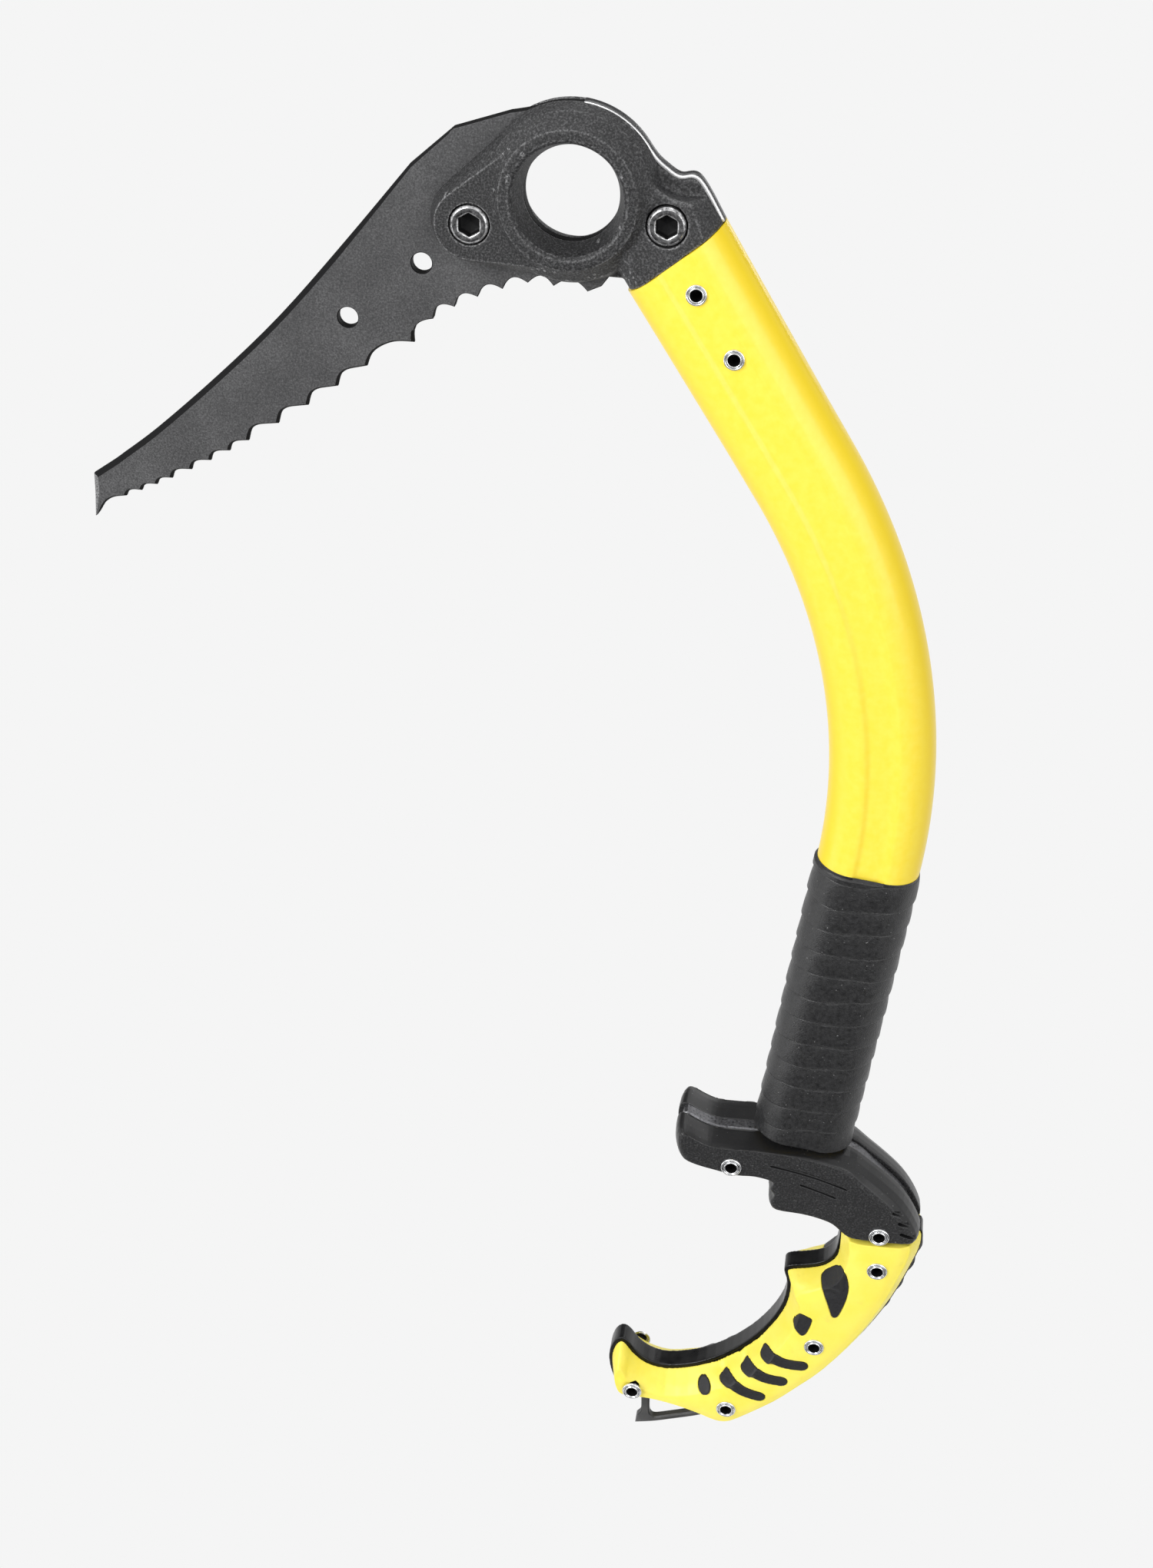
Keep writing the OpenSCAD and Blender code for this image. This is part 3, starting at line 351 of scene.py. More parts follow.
def dressed(name, mesh, material, body="tool", replaced=()):
    """Mesh as a smooth piece with a finish, on its body, with the CAD nodes it stands for hidden."""
    obj = bpy.data.objects.new(name, mesh)
    bpy.context.scene.collection.objects.link(obj)
    mesh.materials.clear()
    mesh.materials.append(material)
    mesh.polygons.foreach_set("use_smooth", [True] * len(mesh.polygons))
    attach(obj, body)
    if replaced:
        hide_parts(*replaced)
    return obj


def worked(obj):
    """Gives an object the mesh that its modifiers make of its own."""
    view = bpy.context.evaluated_depsgraph_get()
    mesh = bpy.data.meshes.new_from_object(obj.evaluated_get(view))
    obj.modifiers.clear()
    obj.data = mesh
    return mesh


def eased(node, name, material, voxel, rounds, keep, shape=None, soft_spot=None):
    """Copy of a CAD node with its edges eased as forging or moulding leaves them: a fine even mesh,
    smoothed a few rounds. shape may move the points, keep is the share of faces that stay, and a
    soft_spot, an (x, z) place and a radius, is smoothed more."""
    source = bpy.data.objects.new("work", nodes[node].data.copy())
    bpy.context.scene.collection.objects.link(source)
    remesh = source.modifiers.new("remesh", "REMESH")
    remesh.mode = "VOXEL"
    remesh.voxel_size = voxel * MM
    smooth = source.modifiers.new("smooth", "SMOOTH")
    smooth.factor = SMOOTH_FACTOR
    smooth.iterations = rounds
    mesh = worked(source)
    if soft_spot:
        blend_in(source, soft_spot)
        mesh = worked(source)
    if shape:
        points = np.empty(len(mesh.vertices) * 3)
        mesh.vertices.foreach_get("co", points)
        points = shape(points.reshape(-1, 3) / MM) * MM
        mesh.vertices.foreach_set("co", points.ravel())
        mesh.update()
    decimate = source.modifiers.new("decimate", "DECIMATE")
    decimate.ratio = keep
    mesh = worked(source)
    bpy.data.objects.remove(source)
    return dressed(name, mesh, material, "tool", [node])


def blend_in(source, spot):
    """Adds a strong smoothing about an (x, z) place, full to half its radius and then fading out."""
    x, z, radius = spot
    group = source.vertex_groups.new(name="soft")
    for vertex in source.data.vertices:
        gap = math.hypot(vertex.co.x / MM - x, vertex.co.z / MM - z)
        share = smooth_step(2 - 2 * gap / radius)
        if share > 0:
            group.add([vertex.index], share, "REPLACE")
    smooth = source.modifiers.new("soft", "SMOOTH")
    smooth.factor = SMOOTH_FACTOR
    smooth.iterations = BLEND_ROUNDS
    smooth.vertex_group = "soft"


def lathe(name, node, profile, material, body, sides, finishes):
    """Piece turned about a node's own axis along Y, from (radius, y) points. A radius may be a function
    of the angle, for a hexagon. finishes are pairs of a finish and the rows of faces that take it."""
    at = centre(node)
    verts = []
    for radius, y in profile:
        for i in range(sides):
            angle = 2 * math.pi * i / sides
            r = radius(angle) if callable(radius) else radius
            verts.append((at.x + r * math.cos(angle), y, at.z + r * math.sin(angle)))
    faces = []
    for k in range(len(profile) - 1):
        for i in range(sides):
            j = (i + 1) % sides
            faces.append((k * sides + i, (k + 1) * sides + i, (k + 1) * sides + j, k * sides + j))
    turned = piece(name, verts, faces, material, body, [node])
    for index, (finish, rows) in enumerate(finishes, 1):
        turned.data.materials.append(finish)
        for row in rows:
            for face in turned.data.polygons[row * sides:(row + 1) * sides]:
                face.material_index = index
    return turned


def outlines(node):
    """Outlines of a flat CAD piece on its far face, as closed rows of (x, z) points."""
    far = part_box(node)[1].y
    mesh = bmesh.new()
    mesh.from_mesh(nodes[node].data)
    bmesh.ops.remove_doubles(mesh, verts=mesh.verts, dist=WELD * MM)
    on_face = {f for f in mesh.faces if all(abs(v.co.y - far) < ON_FACE * MM for v in f.verts)}
    ways = {}
    for edge in mesh.edges:
        flat = [f for f in edge.link_faces if f in on_face]
        if len(flat) == 1:
            for a, b in (edge.verts, reversed(edge.verts)):
                ways.setdefault(a, []).append(b)
    loops = []
    while ways:
        start = next(iter(ways))
        row, here = [], start
        while here in ways:
            row.append((here.co.x / MM, here.co.z / MM))
            ahead = [v for v in ways.pop(here) if v in ways]
            here = ahead[0] if ahead else start
        loops.append([Vector(p) for p in row])
    mesh.free()
    return loops


def area(row):
    """Area within a closed row of points, positive where it runs counter-clockwise."""
    return sum(row[i - 1].x * p.y - p.x * row[i - 1].y for i, p in enumerate(row)) / 2


def rounded(row, rounds=3):
    """Closed row of points with its gentle bends and hollows rounded and its sharp tips kept."""
    for _ in range(rounds):
        smooth = []
        for i, p in enumerate(row):
            back, ahead = row[i - 1] - p, row[(i + 1) % len(row)] - p
            turn = math.pi - back.angle(ahead, math.pi)
            tip = ahead.cross(back) > 0
            if (tip and turn > CORNER_TURN) or turn < STRAIGHT:
                smooth.append(p)
            else:
                for way in (back, ahead):
                    smooth.append(p + way * min(CUT_SHARE, CORNER_CUT / way.length))
        row = smooth
    return row


def into_piece(row):
    """Mitred directions from each point of a closed row into the piece on its left."""
    ways = []
    for i, p in enumerate(row):
        a = (p - row[i - 1]).normalized()
        b = (row[(i + 1) % len(row)] - p).normalized()
        left = Vector((-a.y, a.x))
        side = left + Vector((-b.y, b.x))
        side = side.normalized() if side.length > STRAIGHT else left
        ways.append(side / max(side.dot(left), MITRE_LEAST))
    return ways


def within(at, row):
    """Whether a point lies inside a closed row of points."""
    odd = False
    for i, p in enumerate(row):
        q = row[i - 1]
        if (p.y > at.y) != (q.y > at.y) and at.x < p.x + (at.y - p.y) * (q.x - p.x) / (q.y - p.y):
            odd = not odd
    return odd


def fill(mesh, rings):
    """Fills the flat area between closed rings of points: the first is the outline, the others holes."""
    corners, edges, rows = [], [], []
    for ring in rings:
        start, count = len(corners), len(ring)
        edges += [(start + i, start + (i + 1) % count) for i in range(count)]
        corners += ring
        rows.append([Vector((v.co.x, v.co.z)) / MM for v in ring])
    flat = [p for row in rows for p in row]
    places, _, faces, origins, _, _ = delaunay_2d_cdt(flat, edges, [], ENCLOSED, SAME_POINT)
    made = [corners[old[0]] if old else mesh.verts.new((at.x * MM, corners[0].co.y, at.y * MM))
            for at, old in zip(places, origins)]
    for face in faces:
        middle = sum((places[k] for k in face), Vector((0, 0))) / len(face)
        if not any(within(middle, hole) for hole in rows[1:]):
            mesh.faces.new([made[k] for k in face])


def plate_of(node, name, material, edge, trim=None, finishes=None):
    """Flat CAD piece as a plate cut along the same outline. edge gives the width and depth of the eased
    edge, or works them out at a point from its place and the way into the piece; trim may redraw the
    outer outline. finishes are a function that picks an edge's finish and the finishes it picks from."""
    low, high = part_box(node)
    half = (high.y - low.y) / (2 * MM)
    mesh = bmesh.new()
    caps = ([], [])
    edge_finishes = []
    for place, row in enumerate(sorted(outlines(node), key=lambda row: -abs(area(row)))):
        outer = place == 0
        if (area(row) > 0) != outer:
            row = row[::-1]
        row = trim(row) if outer and trim else rounded(row)
        ways = into_piece(row)
        sizes = [edge(q, w) if callable(edge) and outer else SMALL_EDGE if callable(edge) else edge
                 for q, w in zip(row, ways)]
        rings = []
        for side, shares in ((-1, EDGE_SHARES), (1, EDGE_SHARES[::-1])):
            for share in shares:
                ring = []
                for q, w, (wide, deep) in zip(row, ways, sizes):
                    at = q + w * wide * (1 - share)
                    ring.append(mesh.verts.new(Vector((at.x, side * (half - deep * share), at.y)) * MM))
                rings.append(ring)
        count = len(row)
        for near, far in zip(rings, rings[1:]):
            for i in range(count):
                j = (i + 1) % count
                mesh.faces.new((near[i], near[j], far[j], far[i]))
                edge_finishes.append(finishes[0](row[i], ways[i]) if finishes else 0)
        caps[0].append(rings[0])
        caps[1].append(rings[-1])
    for cap in caps:
        fill(mesh, cap)
    bmesh.ops.recalc_face_normals(mesh, faces=mesh.faces)
    data = bpy.data.meshes.new(name)
    mesh.to_mesh(data)
    mesh.free()
    plate = dressed(name, data, material, "tool", [node])
    for finish in finishes[1] if finishes else ():
        data.materials.append(finish)
    for face, finish in zip(data.polygons, edge_finishes):
        face.material_index = finish
    data.set_sharp_from_angle(angle=PLATE_CREASE)
    return plate


def drilled(obj, holes, radius, reach):
    """Drills round holes along Y at (x, z) places into an object."""
    mesh = bmesh.new()
    for x, z in holes:
        turn = Matrix.Translation(Vector((x, 0, z)) * MM) @ Matrix.Rotation(math.pi / 2, 4, "X")
        bmesh.ops.create_cone(mesh, cap_ends=True, segments=DRILL_SIDES, radius1=radius * MM,
                              radius2=radius * MM, depth=2 * reach * MM, matrix=turn)
    data = bpy.data.meshes.new("work")
    mesh.to_mesh(data)
    mesh.free()
    drill = bpy.data.objects.new("work", data)
    bpy.context.scene.collection.objects.link(drill)
    cut = obj.modifiers.new("cut", "BOOLEAN")
    cut.operation = "DIFFERENCE"
    cut.object = drill
    worked(obj).set_sharp_from_angle(angle=CORNER_TURN)
    bpy.data.objects.remove(drill)


def tube(rings, joined=False):
    """Points and faces of a tube through rings of as many points. Its ends are capped, or the last ring
    is joined to the first."""
    sides = len(rings[0])
    count = len(rings)
    verts = [p for ring in rings for p in ring]
    faces = []
    for k in range(count if joined else count - 1):
        here, there = k * sides, (k + 1) % count * sides
        for i in range(sides):
            j = (i + 1) % sides
            faces.append((here + i, here + j, there + j, there + i))
    if not joined:
        faces.append(tuple(range(sides - 1, -1, -1)))
        faces.append(tuple((count - 1) * sides + i for i in range(sides)))
    return verts, faces


# Shaft: centreline, section and taper. The solid has one section, and the photograph a slight taper.

SHAFT_TOP = Vector((29.1, -15.4))
UPPER_LEAN = math.radians(31.5)
LOWER_LEAN = math.radians(8.2)
UPPER_LEN = 76.6
BEND_R = 201.0
BEND_LEN = BEND_R * (UPPER_LEAN + LOWER_LEAN)
LOWER_LEN = 111.6
SHAFT_LEN = UPPER_LEN + BEND_LEN + LOWER_LEN
SHAFT_T = 22.6
SHAFT_WALL = 2.0
WIDTH_AT_HEAD = 34.6
WIDTH_AT_TAPE = 33.5
WIDTH_AT_END = 32.9
TAPER_RUN = 60.0
SEAT_SLANT = 3.6
SLANT_FADE = 20.0
# The groove's steep front wall, its gentle rear wall, and how far that runs past the flat
GROOVE_DEPTH = 0.8
FRONT_WALL = 2.2
REAR_WALL = 4.5
REAR_PAST = 1.5
RIVET_HOLE_R = 2.6
SHAFT_SIDES, SHAFT_STEPS = 160, 150
TAPE_LEN = 111.0
DOWN_SHAFT = Vector((math.sin(UPPER_LEAN), -math.cos(UPPER_LEAN)))
BEHIND_SHAFT = Vector((math.cos(UPPER_LEAN), math.sin(UPPER_LEAN)))


def along_shaft(s):
    """Centre and lean of the shaft, s down its centreline from the top."""
    if s <= UPPER_LEN:
        return SHAFT_TOP + s * DOWN_SHAFT, UPPER_LEAN
    pivot = SHAFT_TOP + UPPER_LEN * DOWN_SHAFT - BEND_R * BEHIND_SHAFT
    lean = UPPER_LEAN - min(s - UPPER_LEN, BEND_LEN) / BEND_R
    at = pivot + BEND_R * Vector((math.cos(lean), math.sin(lean)))
    rest = max(s - UPPER_LEN - BEND_LEN, 0.0)
    return at + rest * Vector((-math.sin(LOWER_LEAN), -math.cos(LOWER_LEAN))), lean


def shaft_width(s):
    """Width of the tapered tube in the swing plane."""
    tape_top = SHAFT_LEN - TAPE_LEN
    if s < tape_top:
        return WIDTH_AT_HEAD + (WIDTH_AT_TAPE - WIDTH_AT_HEAD) * min(s / TAPER_RUN, 1.0)
    return WIDTH_AT_TAPE + (WIDTH_AT_END - WIDTH_AT_TAPE) * (s - tape_top) / TAPE_LEN


def oval(angle, width, thick, groove):
    """Point of the shaft's section: an oval with a shallow groove along each flat side."""
    r = thick / 2
    flat = width / 2 - r
    c, s = math.cos(angle), math.sin(angle)
    if abs(s) * flat > abs(c) * r:
        across, out = r * c / abs(s), math.copysign(r, s)
        front = smooth_step((across + flat) / FRONT_WALL)
        rear = smooth_step((flat + REAR_PAST - across) / REAR_WALL)
        return across, out - math.copysign(groove * front * rear, s)
    side = math.copysign(1.0, c)
    turn = math.atan2(abs(s), abs(c)) / math.atan2(r, flat) * math.pi / 2
    return side * (flat + r * math.cos(turn)), math.copysign(r * math.sin(turn), s)


def placed(s, across, out, rise=0.0):
    """Point beside the shaft's centreline in the part's frame."""
    at, lean = along_shaft(s)
    point = at + across * Vector((math.cos(lean), math.sin(lean)))
    point += rise * Vector((-math.sin(lean), math.cos(lean)))
    return point.x, out, point.y


def make_shaft():
    """Drawn tube: tapered oval with grooves, cut slanting where it meets the head."""
    outside, inside = [], []
    for k in range(SHAFT_STEPS + 1):
        s = SHAFT_LEN * k / SHAFT_STEPS
        width = shaft_width(s)
        fade = max(1 - s / SLANT_FADE, 0.0)
        for rings, wall, groove in ((outside, 0.0, GROOVE_DEPTH), (inside, SHAFT_WALL, 0.0)):
            ring = []
            for i in range(SHAFT_SIDES):
                angle = 2 * math.pi * i / SHAFT_SIDES
                across, out = oval(angle, width - 2 * wall, SHAFT_T - 2 * wall, groove)
                lift = SEAT_SLANT * (across / width - 0.5)
                ring.append(placed(s, across, out, lift * fade))
            rings.append(ring)
    verts, faces = tube(outside + inside[::-1], joined=True)
    shaft = piece("shaft_tube", verts, faces, ENAMEL, replaced=["shaft"])
    middles = [centre(rivet) for rivet in ("upper_head_rivet", "lower_head_rivet")]
    drilled(shaft, [(at.x, at.z) for at in middles], RIVET_HOLE_R, SHAFT_T)


# Tape: lapped turns of a rubber strip

TAPE_TURNS = 12
TAPE_THICK = 0.95
TAPE_THIN = 0.12
TAPE_SLIP = 0.1
# The tape's smooth end at the top of the winding
TAPE_FOOT = 1.2
# Wander of the laps' edges along the shaft, and the length over which it changes
LAP_WANDER = 1.3
WANDER_LEN = 16.0
# Over one turn: the share in which the lap's edge steps up, how it thins, swells and is pressed in
LAP_STEP = 0.05
LAP_THINNING = 0.8
LAP_SWELL = 0.14
LAP_PRESS = 0.16
PRESS_SHARE = 0.025
# Lumps of the stretched rubber: height, number round the shaft and length along it
LUMP_HEIGHT = 0.12
LUMPS_ROUND = 3
LUMP_LEN = 5.0
# What the tape leaves of the shaft's groove
TAPE_GROOVE = 0.25
TAPE_SIDES, TAPE_STEPS = 144, 640


def tape_height(up, angle):
    """Height of the winding over the shaft, up from its lower end."""
    if TAPE_LEN - up < TAPE_FOOT:
        return TAPE_THIN
    round_about = Vector((math.cos(angle), math.sin(angle), up / WANDER_LEN))
    turns = (up + LAP_WANDER * noise.noise(round_about)) / (TAPE_LEN / TAPE_TURNS) - angle / (2 * math.pi)
    part = turns - math.floor(turns)
    height = TAPE_THIN + (TAPE_THICK - TAPE_THIN) * smooth_step(part / LAP_STEP) * (1 - part) ** LAP_THINNING
    height += LAP_SWELL * math.sin(math.pi * part)
    height -= LAP_PRESS * math.exp(-((1 - part) / PRESS_SHARE) ** 2)
    lump_at = Vector((LUMPS_ROUND * round_about.x, LUMPS_ROUND * round_about.y, up / LUMP_LEN))
    return height + LUMP_HEIGHT * noise.noise(lump_at)


def make_tape():
    """Rubber tape wound up the shaft: each turn laps the one below it, thick at its lower edge."""
    angles = [2 * math.pi * i / TAPE_SIDES for i in range(TAPE_SIDES)]
    rings = []
    for k in range(TAPE_STEPS + 1):
        up = TAPE_LEN * k / TAPE_STEPS
        s = SHAFT_LEN - up
        ring = []
        for angle in angles:
            height = tape_height(up, angle)
            across, out = oval(angle, shaft_width(s) + 2 * height, SHAFT_T + 2 * height, TAPE_GROOVE)
            ring.append(placed(s, across, out))
        rings.append(ring)
    ends = [[placed(s, *oval(angle, width + TAPE_SLIP, SHAFT_T + TAPE_SLIP, 0.0)) for angle in angles]
            for s, width in ((SHAFT_LEN, WIDTH_AT_END), (SHAFT_LEN - TAPE_LEN, WIDTH_AT_TAPE))]
    rings = [ends[0], *rings, ends[1]]
    verts, faces = tube(rings[::-1], joined=True)
    piece("wound_tape", verts, faces, TAPE, replaced=["grip_tape", "grip_tape_base"])


# Rivets and bolts

# A rivet's face is drawn for this flange: its two beads as radius, half width, foot and height over the
# seat, and the bore at its mouth and in the middle
DRAWN_FLANGE = 3.65
RIVET_BEADS = ((3.15, 0.5, 0.15, 0.6), (2.28, 0.33, 0.3, 0.68))
BEAD_STEPS = 10
MOUTH_R, BORE_R = 1.9, 1.86
MOUTH_DEPTH = 0.6
FACE_DEPTH = 1.0
BORE_ROWS = 5
RIVET_SIDES = 56

KEY_AF = 6.0
BOLT_HEAD = 4.9
SHANK_R = 3.0
SHANK_TIP_R = 2.4
SHANK_TIP = 0.6
# Turned pieces end in a point this near to the axis
AXIS_R = 0.01
BOLT_SIDES = 72
# Rows of the bolt's rim: worn steel with a painted highlight
WORN_ROWS = (3, 7, 8)
SOCKET_ROWS = (0, 1, 2)


def make_rivet(node):
    """Tube rivet: a domed washer-like flange, a valley, and the tube's end rolled into a thin bead."""
    low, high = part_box(node)
    flange = (high.x - low.x) / (2 * MM)
    seat = high.y / MM - FACE_DEPTH
    k = flange / DRAWN_FLANGE
    half = [(flange, seat)]
    for middle, wide, foot, tall in RIVET_BEADS:
        for i in range(BEAD_STEPS + 1):
            angle = math.pi * i / BEAD_STEPS
            half.append((k * middle + k * wide * math.cos(angle), seat + foot + tall * math.sin(angle)))
    half += [(MOUTH_R * k, seat - MOUTH_DEPTH), (BORE_R * k, 0.0)]
    profile = [(r, -y) for r, y in half] + [(r, y) for r, y in reversed(half[:-1])]
    deepest = len(half) - 1
    bore = range(deepest - BORE_ROWS, deepest + BORE_ROWS)
    # The rows down the bore are painted nearly black as shade
    lathe(node + "_eyelet", node, profile, PLATED, "tool", RIVET_SIDES, [(SHADED_BORE, bore)])


def hexagon(angle):
    """Radius of the key's hexagon at an angle."""
    part = (angle + math.pi / 6) % (math.pi / 3) - math.pi / 6
    return KEY_AF / 2 / math.cos(part)


def make_bolt(node, body):
    """Socket-head bolt: turned head with a broached hexagon and a plain shank."""
    low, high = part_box(node)
    top, end = low.y / MM, high.y / MM
    head = (high.x - low.x) / (2 * MM)
    under = top + BOLT_HEAD
    # Radius and depth below the top of the head, from the socket's floor outwards
    socket = [(AXIS_R, 3.4), (lambda a: 0.8 * hexagon(a), 3.2), (hexagon, 2.9), (hexagon, 0.4),
              (lambda a: hexagon(a) * 0.5 + 1.95, 0.1)]
    rim = [(4.1, 0.0), (head - 0.85, 0.0), (head - 0.75, 0.04), (head - 0.2, 0.45), (head, 0.8)]
    shank = [(head, under - 0.3), (head - 0.2, under), (SHANK_R, under), (SHANK_R, end - SHANK_TIP),
             (SHANK_TIP_R, end), (AXIS_R, end)]
    profile = [(r, top + depth) for r, depth in socket + rim] + shank
    # The socket's rows are painted nearly black as shade
    lathe(node + "_turned", node, profile, OXIDE, body, BOLT_SIDES,
          [(RIM_WEAR_AND_HIGHLIGHT, WORN_ROWS), (SHADED_BORE, SOCKET_ROWS)])


# Head: trimmed band along its back, from the top of the ring, through a hollow, to the shaft

RING_R = 25.8
BAND_ARC = (82.0, 31.0)
ARC_STEPS = 17
HOLLOW = [Vector(at) for at in ((24.2, 10.6), (27.0, 8.2), (30.6, 6.0))]
HOLLOW_STEPS = 8
BACK_OUT = 16.95
BACK_TOP, BACK_END = 14.0, 0.4
HALF_BAND = 2.6
# Sections of the strip and of its bright near edge, as (y, height over the head)
STRIP = [(0.4 - HALF_BAND, -0.6), (0.4 - HALF_BAND, 0.18), (HALF_BAND - 0.4, 0.18), (HALF_BAND, -0.1),
         (HALF_BAND, -0.6)]
BRIGHT_EDGE = [(-HALF_BAND - 0.08, -0.7), (-HALF_BAND - 0.08, -0.05), (0.1 - HALF_BAND, 0.18),
               (0.42 - HALF_BAND, 0.24), (0.42 - HALF_BAND, -0.7)]
# The neck between the ring and the rear boss is forged soft: place and radius
NECK = (28.0, 3.5, 13.0)


def make_band():
    """Ground strip on the back of the head, with the bright edge that the shear left."""
    first, last = BAND_ARC
    path = []
    for i in range(ARC_STEPS + 1):
        angle = math.radians(first + (last - first) * i / ARC_STEPS)
        path.append(Vector((RING_R * math.cos(angle), RING_R * math.sin(angle))))
    back = [SHAFT_TOP + BACK_OUT * BEHIND_SHAFT - up * DOWN_SHAFT for up in (BACK_TOP, BACK_END)]
    path += through([path[-1], *HOLLOW, *back], HOLLOW_STEPS)[1:]
    for name, section, finish in (("ground_band", STRIP, TRIMMED), ("band_bright_edge", BRIGHT_EDGE, BARE)):
        rings = []
        for i, p in enumerate(path):
            ahead = path[min(i + 1, len(path) - 1)] - path[max(i - 1, 0)]
            out = Vector((-ahead.y, ahead.x)).normalized()
            rings.append([((p + out * h).x, y, (p + out * h).y) for y, h in section])
        verts, faces = tube(rings)
        piece(name, verts, faces, finish)


# Pick: width and depth of its ground edges, which fade towards the tip and the crest, its round gullets
# and its straight beak

LOWER_EDGE = (0.75, 1.2)
UPPER_CHAMFER = (1.6, 1.2)
UPPER_WAY = 0.78
TIP_SHARE, TIP_FADE = 0.15, 9.0
CREST_SHARE, CREST_FADE = 0.3, 50.0
CREST_X = -35.0
SCALLOP_X = -47.0
FIRST_TOOTH_X = -62.5
GULLET_STEP = 0.6
GULLET_ROUNDS = 30
TOOTH_ROUNDS = 7
BEAK_TIP = Vector((-150.8, -108.0))
BEAK_CORNER = Vector((-150.2, -94.0))
BEAK_TOP = Vector((-142.5, -88.8))
AT_TIP = 0.3
OFF_LINE = 0.05
FRONT_DEPTH = 0.2
FRONT_WAY = 0.8
DARK_EDGE, GROUND_EDGE = 1, 2


def pick_edge(at, inwards):
    """Edge of the pick: a chamfer along the top and the beak, and a short bevel on the teeth."""
    upper = inwards.x - inwards.y > UPPER_WAY
    if at.x > (CREST_X if upper else SCALLOP_X):
        return SMALL_EDGE
    wide, deep = UPPER_CHAMFER if upper else LOWER_EDGE
    fade = min(1.0, TIP_SHARE + (at - BEAK_TIP).length / TIP_FADE)
    if upper:
        fade *= min(1.0, CREST_SHARE + (CREST_X - at.x) / CREST_FADE)
    return wide * fade, deep * fade


def pick_finish(at, inwards):
    """Finish of the pick's edge at a point: ground on the beak's front, and nearly black elsewhere."""
    front = at.x < BEAK_CORNER.x + FRONT_DEPTH and inwards.x > FRONT_WAY
    return GROUND_EDGE if front else DARK_EDGE


def sharp_beak(row):
    """Outline of the pick with a straight front to its beak, as it is ground."""
    run = BEAK_TOP - BEAK_TIP
    kept = []
    for p in row:
        if (p - BEAK_TIP).length > AT_TIP and p.x < BEAK_TOP.x and run.cross(p - BEAK_TIP) > OFF_LINE:
            if BEAK_CORNER not in kept:
                kept.append(BEAK_CORNER)
        else:
            kept.append(p)
    return filled_gullets(kept)


def filled_gullets(row):
    """Closed row of points whose hollows are drawn out to smooth arcs between the tips."""
    dense = []
    for i, p in enumerate(row):
        run = row[(i + 1) % len(row)] - p
        steps = max(round(run.length / GULLET_STEP), 1)
        dense += [p + run * k / steps for k in range(steps)]
    for turn in range(GULLET_ROUNDS):
        drawn = []
        for i, p in enumerate(dense):
            back, ahead = dense[i - 1] - p, dense[(i + 1) % len(dense)] - p
            hollow = ahead.cross(back) < 0 and (turn < TOOTH_ROUNDS or p.x > FIRST_TOOTH_X)
            drawn.append(p + (back + ahead) / 4 if hollow else p)
        dense = drawn
    return dense


# Grip: the crown of its shells, worked out on a grid of cells

GRIP_CELL = 0.5
GRID_MARGIN = 12.0
# In cells: the reach that bridges the pockets, and the blurs of the ridge, the face and the rim
BRIDGE = 10
RIDGE_BLUR, FACE_BLUR, RIM_BLUR = 5.0, 1.5, 1.2
# Least height of a cell with a shell in it, and least share of such cells to divide by
SHELL_LEAST = 1.0
SHARE_LEAST = 0.05
# Share of the shell at which the slide of the slots starts, and over which it becomes full
RIM_START, RIM_SPAN = 0.6, 0.35
RIDGE_SINK = 1.6
# Height of the pockets' floor, and the height over the seam at which the slide starts
POCKET_FLOOR = 5.55
FLOOR_STEP = 0.5
SEAM_REACH = 3.0
FADE_IN = 2.0
PAD_RAISE = 0.6
SHAFT_END = along_shaft(SHAFT_LEN)[0]
SLOT_ENDS = [SHAFT_END + Vector(at) for at in ((-10.4, -95.9), (-17.2, -103.2), (-24.7, -109.3))]
SLOT_SLIDE = 2.0
SLIDE_REACH = 7.2


def spread(field, radius, pick):
    """Largest or smallest value of a field within a radius in cells, along both ways."""
    for axis in (0, 1):
        field = pick.reduce([np.roll(field, k, axis) for k in range(-radius, radius + 1)])
    return field


def blurred(field, sigma):
    """Field blurred along both ways by a bell curve sigma cells wide."""
    reach = int(3 * sigma)
    bell = [math.exp(-0.5 * (k / sigma) ** 2) for k in range(-reach, reach + 1)]
    for axis in (0, 1):
        field = sum(w * np.roll(field, k, axis) for w, k in zip(bell, range(-reach, reach + 1))) / sum(bell)
    return field


def sampled(field, at):
    """Values of a field at places given in cells, between the cells' middles."""
    cell = np.floor(at - 0.5).astype(int)
    x, z = (at - 0.5 - cell).T
    i, k = cell.T
    return ((field[i, k] * (1 - x) + field[i + 1, k] * x) * (1 - z)
            + (field[i, k + 1] * (1 - x) + field[i + 1, k + 1] * x) * z)


